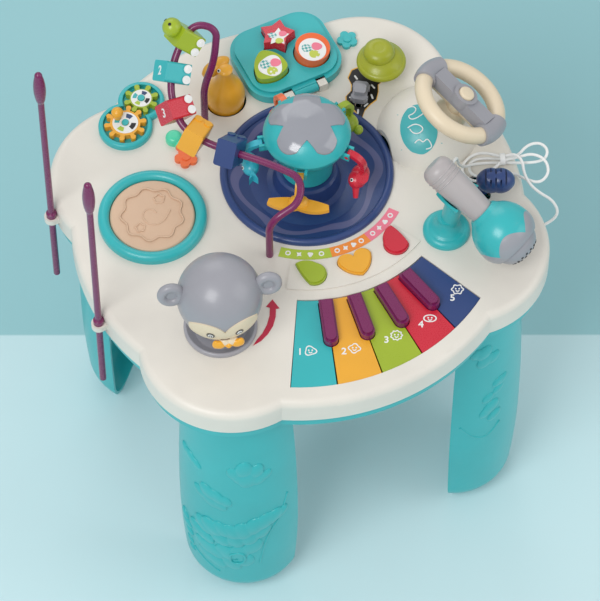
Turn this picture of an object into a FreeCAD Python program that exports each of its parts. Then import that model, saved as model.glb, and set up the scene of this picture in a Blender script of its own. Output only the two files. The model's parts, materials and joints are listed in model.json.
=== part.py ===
import FreeCAD, Part
import math
import os
import Sketcher
from FreeCAD import Placement, Rotation, Vector

# Musical activity table, in millimetres. The origin is on the floor under the middle
# of the table, +Z is up, -Y is the piano side and +X the steering wheel side.

DRIVING = {
    # Table top and shells
    "top_height": 340,
    "table_radius": 198,
    "lobe_radius": 80,
    "lobe_x": 108,
    "lobe_y": 92,
    "rim_depth": 26,
    "rim_rounding": 7,
    "shell_wall": 2.8,
    "base_depth": 12,
    "base_inset": 3,
    "turning_gap": 0.4,
    "pin_gap": 0.05,
    # Legs
    "leg_axis": 107,
    "leg_top_radius": 50,
    "leg_belly_radius": 57,
    "leg_belly_height": 105,
    "leg_sole_radius": 24,
    "leg_toe_rounding": 30,
    "leg_wall": 3,
    "leg_back_cut": 12,
    "leg_peg_radius": 5,
    "leg_peg_height": 9,
    # Carousel
    "carousel_x": 23,
    "carousel_y": 30,
    "dish_radius": 76,
    "dish_hole_radius": 72,
    "dish_rim_rise": 5,
    "dish_rim_rounding": 3.5,
    "dish_floor": 332,
    "plinth_radius": 27,
    "plinth_height": 349,
    "pillar_radius": 22.5,
    "dome_radius": 38,
    "dome_level": 403,
    "dome_rise": 21,
    "lens_depth": 3,
    "spindle_radius": 6,
    "figure_radius": 50,
    "figure_level": 368,
    "strap_width": 6,
    "strap_thickness": 3,
    "swing_pin_radius": 1.8,
    # Gear train under the top
    "tooth_module": 3,
    "carousel_teeth": 36,
    "idler_teeth": 30,
    "monkey_teeth": 20,
    "gear_level": 311,
    "gear_width": 6,
    "gear_backlash": 0.6,
    # Monkey
    "monkey_line": -141.08,
    "bowl_radius": 31.5,
    "bowl_hole_radius": 28,
    "monkey_head_radius": 36.5,
    "monkey_head_level": 390,
    "monkey_facing": -108,
    "ear_radius": 12,
    "face_skin": 1,
    # Drum
    "drum_x": -118,
    "drum_y": 46,
    "drum_ring_radius": 47.3,
    "drum_hole_radius": 43,
    "drum_pad_radius": 37,
    "drum_travel": 1.5,
    # Piano
    "keybed_inner_radius": 130.5,
    "keybed_outer_radius": 181,
    "keybed_start": -119.8,
    "key_angle": 10.6,
    "key_gap": 0.6,
    "keybed_floor": 326,
    "key_bottom": 330.5,
    "key_top": 339,
    "sharp_width": 12.5,
    "sharp_inner_radius": 134,
    "sharp_outer_radius": 178,
    "sharp_top": 348,
    # Button panel
    "panel_inner_radius": 91,
    "panel_outer_radius": 121,
    "panel_rise": 1.2,
    "button_ring_radius": 104,
    "button_spacing": 23,
    "button_rise": 3.4,
    "button_travel": 2,
    # Shape sorter
    "lid_x": 59.5,
    "lid_y": 147,
    "lid_length": 90,
    "lid_depth": 78,
    "lid_height": 12,
    "lid_wall": 2.6,
    "bin_floor": 329,
    "bin_length": 76,
    "bin_depth": 64,
    "block_height": 30,
    "block_lean": 6,
    "block_gap": 1,
    "hinge_pin_radius": 2,
    # Turning gears on the top
    "crank_x": -99,
    "crank_y": 143,
    "crank_teeth": 10,
    "driven_teeth": 8,
    "driven_line": 37,
    "knob_pitch": 10.3,
    "knob_radius": 2.3,
    "play_gear_width": 6,
    "tray_floor_rise": 2,
    "tray_rim_rise": 6,
    # Mallets
    "mallet_length": 305,
    "mallet_drop": 92,
    "mallet_radius": 3,
    "mallet_head_radius": 5.2,
    "lug_depth": 18,
    # Bead rail and its cars
    "rail_radius": 3.25,
    "car_gap": 0.5,
    "car_width": 24,
    "car_length": 18,
    # Steering wheel
    "wheel_x": 158,
    "wheel_y": 4,
    "wheel_level": 398,
    "wheel_radius": 36.5,
    "wheel_rim_radius": 7.4,
    "wheel_tilt": 28,
    "wheel_line": -15,
    "column_radius": 8,
    "column_length": 46,
    "mound_x": 139,
    "mound_y": 25,
    "mound_radius": 45,
    "mound_rise": 35,
    # Microphone
    "mic_stand_x": 105,
    "mic_stand_y": -77,
    "mic_base_radius": 20.5,
    "mic_x": 103,
    "mic_y": -63,
    "mic_level": 414,
    "mic_line": -60.5,
    "mic_dip": 28.5,
    "mic_tail_radius": 14,
    "mic_neck_radius": 11,
    "mic_handle_length": 50,
    "mic_head_radius": 27,
    "mic_head_length": 42,
    "grille_radius": 20,
    # Levers and the toy car
    "tree_x": 129,
    "tree_y": 97,
    "tree_radius": 21.5,
    "tree_rise": 14.5,
    "duck_x": -7,
    "duck_y": 132,
    "duck_radius": 17,
    "duck_height": 46,
    "shift_x": 150,
    "shift_y": -50,
    "shift_length": 38,
    "lever_pivot_depth": 9,
    "toy_car_x": 102,
    "toy_car_y": 84,
    "road_line": 55,
    "road_slot_length": 26,
    # Inside and underneath
    "battery_x": 82,
    "battery_y": 20,
    "battery_length": 76,
    "battery_width": 46,
    "board_length": 84,
    "board_width": 40,
    # Microphone cord
    "boss_roll": 10,
    "boss_level": 5,
    "boss_radius": 2.6,
    "boss_length": 4,
    "cord_diameter": 2.6,
}

LEGS = {
    "leg_front_left": (-1, -1),
    "leg_front_right": (1, -1),
    "leg_back_right": (1, 1),
    "leg_back_left": (-1, 1),
}

# The bead rail's route: its corners as x, y and the rise above the table top.
RAIL_ROUTE = [
    (-43, -32, -14),
    (-43, -32, 51),
    (-14, -32, 62),
    (-4, -14, 69),
    (-20, 11, 67),
    (-58, 57, 62),
    (-73, 78, 68),
    (-71, 107, 83),
    (-54, 130, 102),
    (-31, 139, 120),
    (-15, 128, 116),
    (-23, 118, 86),
    (-35, 115, 58),
    (-35, 115, -14),
]
CARS = {"car_navy": 4, "car_amber": 5, "car_red": 6, "car_teal": 7, "car_lime": 8}

# The microphone's cord after its boss: x, y and the rise above the table top. Two loops
# lie to the right of the tie and two to the left, and they cross at the tie.
CORD_LEAD = [
    (131.5, -42.5, 48),
    (136.5, -36, 29),
    (144.5, -30.5, 11),
    (156, -27.5, 4.4),
    (168, -30.5, 2.4),
]
CORD_LOOPS = [
    (180.9, -36.1, 2),
    (193.3, -42.7, 2.4),
    (206, -48.8, 3),
    (216, -50, 3.2),
    (223, -42, 3.2),
    (220, -32, 3.2),
    (208.5, -29.5, 3),
    (195.8, -36.2, 2.4),
    (182.1, -32.9, 2),
    (170.5, -25.8, 2.2),
    (160, -22.4, 2),
    (153.2, -25.6, 2),
    (150.6, -32.6, 2),
    (153.8, -39.4, 2),
    (160.8, -42, 2.4),
    (170, -39.8, 4.2),
    (180.9, -36.1, 5.7),
    (195, -39.5, 6.2),
    (207, -41.5, 7),
    (215, -52, 6.6),
    (212, -65, 4.2),
    (200, -70, 2.4),
    (190.5, -60, 2.2),
    (184, -49, 2.2),
    (171, -47, 2),
    (158, -47, 2),
    (147.3, -41.2, 2),
    (144, -29.5, 2),
    (151.5, -20.2, 2),
    (163.5, -17.6, 3),
    (172.8, -23, 5.4),
]
CORD_TAIL = [
    (182.1, -32.9, 5.7),
    (192, -36.5, 9.8),
    (195, -46, 10.2),
    (190.5, -57.5, 8),
    (190.5, -69, 5.6),
    (194.5, -80, 4.6),
    (203, -89, -0.5),
    (205, -97.5, -10),
    (196, -99, -17),
    (185, -99, -17),
]

doc = FreeCAD.newDocument("ActivityTable")
sheet = doc.addObject("Spreadsheet::Sheet", "Sizes")
for row, (name, number) in enumerate(DRIVING.items(), start=1):
    sheet.set(f"A{row}", name)
    sheet.set(f"B{row}", str(number))
    sheet.setAlias(f"B{row}", name)
doc.recompute()


class Size:
    """A size worked out from the sheet: its value, and the expression that gives it."""

    def __init__(self, value, text):
        self.value = float(value)
        self.text = text

    def __float__(self):
        return self.value

    def __add__(self, other):
        return Size(self.value + float(other), f"({self.text} + {text_of(other)})")

    def __radd__(self, other):
        return self + other

    def __sub__(self, other):
        return Size(self.value - float(other), f"({self.text} - {text_of(other)})")

    def __rsub__(self, other):
        return Size(float(other) - self.value, f"({text_of(other)} - {self.text})")

    def __mul__(self, other):
        return Size(self.value * float(other), f"({self.text} * {text_of(other)})")

    def __rmul__(self, other):
        return self * other

    def __truediv__(self, other):
        return Size(self.value / float(other), f"({self.text} / {text_of(other)})")

    def __rtruediv__(self, other):
        return Size(float(other) / self.value, f"({text_of(other)} / {self.text})")

    def __neg__(self):
        return self * -1


def text_of(value):
    """The expression for a size or a number."""
    if isinstance(value, Size):
        return value.text
    return f"({float(value):.6f})"


def size(name):
    """A driving size from the sheet."""
    return Size(getattr(sheet, name), f"Sizes.{name}")


def cos_of(angle):
    return Size(math.cos(math.radians(float(angle))), f"cos({text_of(angle)} * 1deg)")


def sin_of(angle):
    return Size(math.sin(math.radians(float(angle))), f"sin({text_of(angle)} * 1deg)")


def polar(radius, angle, middle=(0, 0)):
    """The place at a radius and an angle round a middle."""
    return (middle[0] + radius * cos_of(angle), middle[1] + radius * sin_of(angle))


def bind(thing, name, value):
    """Ties one property to the sheet, or sets it where the value is a plain number."""
    if isinstance(value, Size):
        thing.setExpression(name, value.text)
    elif "." not in name:
        setattr(thing, name, value)


def put(thing, at=(0, 0, 0), turn=None):
    """Places a piece at a point, turned by a rotation."""
    thing.Placement = Placement(Vector(*map(float, at)), turn or Rotation())
    for letter, value in zip("xyz", at):
        bind(thing, f"Placement.Base.{letter}", value)
    return thing


def named(kind, label):
    thing = doc.addObject(kind, label)
    thing.Label = label
    return thing


def cylinder(label, radius, height, at=(0, 0, 0), turn=None, sweep=360):
    thing = named("Part::Cylinder", label)
    bind(thing, "Radius", radius)
    bind(thing, "Height", height)
    bind(thing, "Angle", sweep)
    return put(thing, at, turn)


def cone(label, low_radius, high_radius, height, at=(0, 0, 0), turn=None):
    thing = named("Part::Cone", label)
    bind(thing, "Radius1", low_radius)
    bind(thing, "Radius2", high_radius)
    bind(thing, "Height", height)
    return put(thing, at, turn)


def box(label, length, width, height, at=(0, 0, 0), turn=None):
    """A box whose corner is at the point."""
    thing = named("Part::Box", label)
    bind(thing, "Length", length)
    bind(thing, "Width", width)
    bind(thing, "Height", height)
    return put(thing, at, turn)


def middle_box(label, length, width, height, at=(0, 0, 0)):
    """A box standing on the point, centred on it in plan."""
    return box(label, length, width, height, (at[0] - length / 2.0, at[1] - width / 2.0, at[2]))


def ball(label, radius, at=(0, 0, 0)):
    thing = named("Part::Sphere", label)
    bind(thing, "Radius", radius)
    return put(thing, at)


def torus(label, ring_radius, tube_radius, at=(0, 0, 0), turn=None):
    thing = named("Part::Torus", label)
    bind(thing, "Radius1", ring_radius)
    bind(thing, "Radius2", tube_radius)
    return put(thing, at, turn)


def fuse(label, *pieces):
    thing = named("Part::MultiFuse", label)
    thing.Shapes = list(pieces)
    thing.Refine = True
    return thing


def cut(label, body, *tools):
    """The body with the tools taken out of it."""
    tool = tools[0] if len(tools) == 1 else fuse(f"{label}_tools", *tools)
    thing = named("Part::Cut", label)
    thing.Base = body
    thing.Tool = tool
    thing.Refine = True
    return thing


def common(label, first, second):
    thing = named("Part::Common", label)
    thing.Base = first
    thing.Tool = second
    return thing


def held(label, piece, at, turn):
    """A piece carried to a new place by a holder, on top of its own placement."""
    thing = named("Part::Compound", label)
    thing.Links = [piece]
    return put(thing, at, turn)


def feature(label, shape, at=(0, 0, 0), turn=None):
    """A piece whose shape is worked out in code from the sheet."""
    thing = named("Part::Feature", label)
    thing.Shape = shape
    return put(thing, at, turn)


def arc_point(middle, radius, angle):
    """The point of an arc that lies at an angle from its middle."""
    return polar(radius, angle, middle)


def outline_sketch(body, label, plane, corners):
    """A closed outline. A corner is (x, y), or (x, y, via) where an arc starts whose
    third point is via. Each corner and via is held by two bound distances."""
    sketch = body.newObject("Sketcher::SketchObject", label)
    support = [face for face in body.Origin.OriginFeatures if face.Role == plane][0]
    sketch.AttachmentSupport = [(support, "")]
    sketch.MapMode = "FlatFace"
    count = len(corners)
    edges = []
    for index, corner in enumerate(corners):
        after = corners[(index + 1) % count]
        start = Vector(float(corner[0]), float(corner[1]), 0)
        end = Vector(float(after[0]), float(after[1]), 0)
        if len(corner) == 3:
            via = Vector(float(corner[2][0]), float(corner[2][1]), 0)
            edges.append(Part.Arc(start, via, end))
        else:
            edges.append(Part.LineSegment(start, end))
    sketch.addGeometry(edges, False)
    starts = []
    for index, corner in enumerate(corners):
        start = Vector(float(corner[0]), float(corner[1]), 0)
        near = sketch.getPoint(index, 1).distanceToPoint(start) < 1e-6
        starts.append(1 if near else 2)
    marks = []
    for corner in corners:
        if len(corner) == 3:
            mark = Part.Point(Vector(float(corner[2][0]), float(corner[2][1]), 0))
            marks.append(sketch.addGeometry(mark, True))
        else:
            marks.append(None)
    rules = []
    expressions = {}

    def hold(kind, geometry, point, value):
        rule = Sketcher.Constraint(kind, -1, 1, geometry, point, float(value))
        if isinstance(value, Size):
            rule.Name = f"d{len(rules)}"
            expressions[rule.Name] = value.text
        rules.append(rule)

    for index, corner in enumerate(corners):
        before = index - 1 if index else count - 1
        rules.append(
            Sketcher.Constraint("Coincident", before, 3 - starts[before], index, starts[index]))
        hold("DistanceX", index, starts[index], corner[0])
        hold("DistanceY", index, starts[index], corner[1])
        if len(corner) == 3:
            rules.append(Sketcher.Constraint("PointOnObject", marks[index], 1, index))
            hold("DistanceX", marks[index], 1, corner[2][0])
            hold("DistanceY", marks[index], 1, corner[2][1])
    sketch.addConstraint(rules)
    for name, text in expressions.items():
        sketch.setExpression(f"Constraints.{name}", text)
    return sketch


def turned(label, corners, at=(0, 0, 0), turn=None):
    """A body of revolution: the corners are radius and height."""
    body = named("PartDesign::Body", label)
    sketch = outline_sketch(body, f"{label}_profile", "XZ_Plane", corners)
    spin = body.newObject("PartDesign::Revolution", f"{label}_spin")
    spin.Profile = sketch
    spin.ReferenceAxis = (sketch, ["V_Axis"])
    spin.Angle = 360
    return put(body, at, turn)


def plate(label, corners, thickness, at=(0, 0, 0), turn=None):
    """A plate of an outline in plan, padded upwards."""
    body = named("PartDesign::Body", label)
    sketch = outline_sketch(body, f"{label}_outline", "XY_Plane", corners)
    pad = body.newObject("PartDesign::Pad", f"{label}_pad")
    pad.Profile = sketch
    bind(pad, "Length", thickness)
    return put(body, at, turn)


def rounded_disc(label, radius, low, high, rounding, at=(0, 0, 0)):
    """A disc with a rounded upper edge."""
    edge = (radius - rounding, high - rounding)
    corners = [
        (0, low),
        (radius, low),
        (radius, high - rounding, arc_point(edge, rounding, 45)),
        (radius - rounding, high),
        (0, high),
    ]
    return turned(label, corners, at)


def bean(label, radius, half_length, at=(0, 0, 0), turn=None):
    """A rounded body of revolution, long along its own Z."""
    corners = [
        (0, -half_length),
        (radius * 0.3, -half_length, (radius * 0.84, half_length * -0.7)),
        (radius, 0 * radius, (radius * 0.84, half_length * 0.7)),
        (radius * 0.3, half_length),
        (0, half_length),
    ]
    return turned(label, corners, at, turn)


def axis_turn(direction, roll=0):
    """The rotation that lays the local Z axis along a direction."""
    return Rotation(Vector(0, 0, 1), Vector(*direction)) * Rotation(Vector(0, 0, 1), roll)


def flat_turn(angle):
    """A turn about the vertical axis."""
    return Rotation(Vector(0, 0, 1), float(angle))


# Places that several pieces share
TOP = size("top_height")
WALL = size("shell_wall")
GAP = size("turning_gap")
UNDER_TOP = TOP - WALL
SHELL_LOW = TOP - size("rim_depth")
BASE_LOW = SHELL_LOW - size("base_depth")
BASE_FLOOR = BASE_LOW + WALL
CAROUSEL = (size("carousel_x"), size("carousel_y"))
CAROUSEL_PITCH = size("tooth_module") * size("carousel_teeth") / 2.0
IDLER_PITCH = size("tooth_module") * size("idler_teeth") / 2.0
MONKEY_PITCH = size("tooth_module") * size("monkey_teeth") / 2.0
IDLER = polar(CAROUSEL_PITCH + IDLER_PITCH, size("monkey_line"), CAROUSEL)
MONKEY = polar(MONKEY_PITCH + IDLER_PITCH, size("monkey_line"), IDLER)
DRUM = (size("drum_x"), size("drum_y"))
CRANK = (size("crank_x"), size("crank_y"))
CRANK_PITCH = size("knob_pitch") * size("crank_teeth") / (2 * math.pi)
DRIVEN_PITCH = size("knob_pitch") * size("driven_teeth") / (2 * math.pi)
DRIVEN = polar(CRANK_PITCH + DRIVEN_PITCH, size("driven_line"), CRANK)
BATTERY = (size("battery_x"), size("battery_y"))
LID = (size("lid_x"), size("lid_y"))
LID_HINGE = (LID[0], LID[1] - size("lid_depth") / 2.0 - 1.5, TOP + 5)
DUCK = (size("duck_x"), size("duck_y"))
SHIFT = (size("shift_x"), size("shift_y"))
TREE = (size("tree_x"), size("tree_y"))
TOY_CAR = (size("toy_car_x"), size("toy_car_y"))
MIC_STAND = (size("mic_stand_x"), size("mic_stand_y"))
WHEEL_NORMAL = (
    float(sin_of(size("wheel_tilt")) * cos_of(size("wheel_line"))),
    float(sin_of(size("wheel_tilt")) * sin_of(size("wheel_line"))),
    float(cos_of(size("wheel_tilt"))),
)
WHEEL = (size("wheel_x"), size("wheel_y"), size("wheel_level"))
MIC_DIRECTION = (
    float(cos_of(size("mic_dip")) * cos_of(size("mic_line"))),
    float(cos_of(size("mic_dip")) * sin_of(size("mic_line"))),
    -float(sin_of(size("mic_dip"))),
)
MIC = (size("mic_x"), size("mic_y"), size("mic_level"))
MIC_TURN = axis_turn(MIC_DIRECTION)
CORD_RUN = 10
CORD_OUTWARD = MIC_TURN.multVec(Vector(float(cos_of(size("boss_roll"))), float(sin_of(size("boss_roll"))), 0))
CORD_EXIT = (
    Vector(*map(float, MIC)) + MIC_TURN.multVec(Vector(0, 0, float(size("boss_level"))))
    + CORD_OUTWARD * float(size("mic_tail_radius") + size("boss_length"))
)
MOUND_BALL = (
    size("mound_radius") * size("mound_radius") + size("mound_rise") * size("mound_rise")
) / (2 * size("mound_rise"))
MOUND_MIDDLE = (size("mound_x"), size("mound_y"), TOP + size("mound_rise") - MOUND_BALL)
DISC_PLACES = [(0, 0)] + [
    (sx * size("lobe_x"), sy * size("lobe_y")) for sx in (-1, 1) for sy in (-1, 1)
]
DISC_RADII = [size("table_radius")] + [size("lobe_radius")] * 4
LUG_STANDOFF = size("mallet_radius") + 1.6
LUGS = {
    "mallet_left": (polar(size("lobe_radius") + LUG_STANDOFF, 178, DISC_PLACES[2]), 178),
    "mallet_front": (polar(size("table_radius") + LUG_STANDOFF, 186.5), 186.5),
}
# The left mallet hangs outside the table, and the origin is under the middle of both.
ORIGIN_SHIFT = (LUG_STANDOFF + size("mallet_head_radius")) / 2.0
SORTER_BLOCKS = {
    "block_star": (0, 14, 100),
    "block_round": (18.5, -9.5, -20),
    "block_leaf": (-19, -9.5, 215),
}


def table_outline(label, inset, low, high, rounding=None):
    """The table's plan, a disc with four lobes, less an inset all round."""
    discs = []
    for number, (place, radius) in enumerate(zip(DISC_PLACES, DISC_RADII)):
        name = f"{label}_{number}"
        if rounding is None:
            discs.append(cylinder(name, radius - inset, high - low, (place[0], place[1], low)))
        else:
            discs.append(rounded_disc(name, radius - inset, low, high, rounding, (*place, 0)))
    return fuse(label, *discs)


def ring_sector(label, middle, inner, outer, start, sweep, low, high):
    """A block between two radii and two angles."""
    turn = flat_turn(start)
    whole = cylinder(f"{label}_outer", outer, high - low, (*middle, low), turn, sweep)
    hole = cylinder(f"{label}_inner", inner, high - low, (*middle, low))
    return cut(label, whole, hole)


def rounded_block(label, length, width, low, high, corner, middle, turn=None):
    """An upright block with rounded corners."""
    half_length = length / 2.0
    half_width = width / 2.0
    corners = []
    for sx, sy, angle in ((1, 1, 0), (-1, 1, 90), (-1, -1, 180), (1, -1, 270)):
        middle_of_arc = (sx * (half_length - corner), sy * (half_width - corner))
        start = arc_point(middle_of_arc, corner, angle)
        end = arc_point(middle_of_arc, corner, angle + 90)
        corners.append((*start, arc_point(middle_of_arc, corner, angle + 45)))
        corners.append(end)
    return plate(label, corners, high - low, (*middle, low), turn)


def star_outline(reach):
    """A soft five-pointed star, as corners."""
    corners = []
    for point in range(5):
        corners.append(polar(reach, 54 + 72 * point))
        corners.append(polar(reach * 0.62, 90 + 72 * point))
    return corners


def leaf_outline(reach):
    """A rounded triangle whose sides bow out."""
    corners = []
    for point in range(3):
        angle = 90 + 120 * point
        corners.append((*polar(reach, angle - 12), polar(reach * 1.04, angle)))
        corners.append((*polar(reach, angle + 12), polar(reach * 0.86, angle + 60)))
    return corners


def heart_outline(reach):
    """A heart as two arcs and a point, its point towards -Y."""
    return [
        (0, reach * 0.42, (reach * 0.5, reach * 0.8)),
        (reach, reach * 0.3, (reach * 0.68, reach * -0.34)),
        (0, reach * -0.82, (reach * -0.68, reach * -0.34)),
        (-reach, reach * 0.3, (reach * -0.5, reach * 0.8)),
    ]


def curl_outline(reach, side):
    """A plump comma: a round head that tapers to a curled tail."""
    return [
        (reach * 0.1 * side, reach * -0.78, (reach * 0.95 * side, reach * -0.1)),
        (reach * 0.3 * side, reach * 0.62, (reach * -0.3 * side, reach * 0.72)),
        (reach * -0.85 * side, reach * 0.45, (reach * -0.5 * side, reach * -0.12)),
    ]


BUTTONS = {
    "button_curl_lime": (-1, lambda reach: curl_outline(reach, 1), -8),
    "button_heart": (0, heart_outline, 0),
    "button_curl_red": (1, lambda reach: curl_outline(reach, -1), 30),
}
BUTTON_REACH = 15.5


def button_place(step):
    angle = -91.7 + step * size("button_spacing")
    return angle, polar(size("button_ring_radius"), angle, CAROUSEL)


def gear(label, teeth, pitch_radius, low, bore, phase, boss=None):
    """A spur gear with straight-flanked teeth, thinned by the backlash."""
    module = float(size("tooth_module"))
    pitch = float(pitch_radius)
    count = int(round(float(teeth)))
    step = 360.0 / count
    slack = float(size("gear_backlash")) / pitch * 90 / math.pi
    outer = pitch + module * 0.9
    root = pitch - module * 1.15
    points = []
    for tooth in range(count):
        middle = tooth * step + phase
        for radius, share in ((root, -0.38), (outer, -0.13), (outer, 0.13), (root, 0.38)):
            half = share * step - math.copysign(slack, share)
            angle = math.radians(middle + half)
            points.append(Vector(radius * math.cos(angle), radius * math.sin(angle), 0))
    face = Part.Face(Part.makePolygon(points + points[:1]))
    solid = face.extrude(Vector(0, 0, float(size("gear_width"))))
    if boss:
        solid = solid.fuse(Part.makeCylinder(*map(float, boss)))
    solid = solid.cut(Part.makeCylinder(float(bore), 60, Vector(0, 0, -20)))
    return feature(label, solid.removeSplitter(), low)


def knob_gear(label, teeth, pitch_radius, phase):
    """A play gear: a disc with round knobs for teeth."""
    width = size("play_gear_width")
    count = int(round(float(teeth)))
    disc = Part.makeCylinder(float(pitch_radius - 3.1), float(width))
    knob = float(size("knob_radius"))
    for tooth in range(count):
        angle = math.radians(phase + tooth * 360.0 / count)
        reach = float(pitch_radius)
        middle = Vector(reach * math.cos(angle), reach * math.sin(angle), 0)
        neck = Part.makeBox(4.5, knob * 1.6, float(width), Vector(-4.5, -knob * 0.8, 0))
        neck.rotate(Vector(), Vector(0, 0, 1), math.degrees(angle))
        neck.translate(middle)
        disc = disc.fuse([Part.makeCylinder(knob, float(width), middle), neck])
    return feature(label, disc.removeSplitter())


def route_wire(corners, share=0.45):
    """Straight runs joined by tangent arcs, each as large as its two runs allow."""
    edges = []
    radii = []
    here = corners[0]
    for before, corner, after in zip(corners, corners[1:], corners[2:]):
        first = (corner - before).normalize()
        second = (after - corner).normalize()
        half_turn = first.getAngle(second) / 2
        shorter = min((corner - before).Length, (after - corner).Length)
        reach = share * shorter
        radius = reach / math.tan(half_turn)
        radii.append(radius)
        start = corner - first * reach
        end = corner + second * reach
        inward = (second - first).normalize()
        middle = corner + inward * (radius / math.cos(half_turn))
        via = middle - inward * radius
        edges.append(Part.LineSegment(here, start).toShape())
        edges.append(Part.Arc(start, via, end).toShape())
        here = end
    edges.append(Part.LineSegment(here, corners[-1]).toShape())
    return Part.Wire(edges), radii


def route_tube(label, corners, radius, share=0.45):
    """A round tube along a route."""
    wire, radii = route_wire(corners, share)
    start = corners[0]
    circle = Part.makeCircle(radius, start, corners[1] - start)
    tube = wire.makePipeShell([Part.Wire(circle)], True, False)
    expected = math.pi * radius ** 2 * wire.Length
    print(f"{label}: length {wire.Length:.1f}, least radius {min(radii):.1f},",
          f"volume ratio {tube.Volume / expected:.4f}")
    return tube, wire


def lifted(points):
    """Route points with their height counted from the table top."""
    return [Vector(x, y, float(TOP) + rise) for x, y, rise in points]


def rail_frame(run):
    """The middle of a run of the rail, its direction, and the way a car's roof faces."""
    corners = lifted(RAIL_ROUTE)
    start, end = corners[run], corners[run + 1]
    along = (end - start).normalize()
    reach = (end - start).Length / 2
    if run == CARS["car_navy"]:
        reach = 39
    middle = start + along * reach
    roof = Vector(-0.90, 0.17, 0.42)
    roof = (roof - along * roof.dot(along)).normalize()
    side = roof.cross(along)
    turn = Rotation(along, side, roof, "XYZ")
    return middle, along, turn


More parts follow.
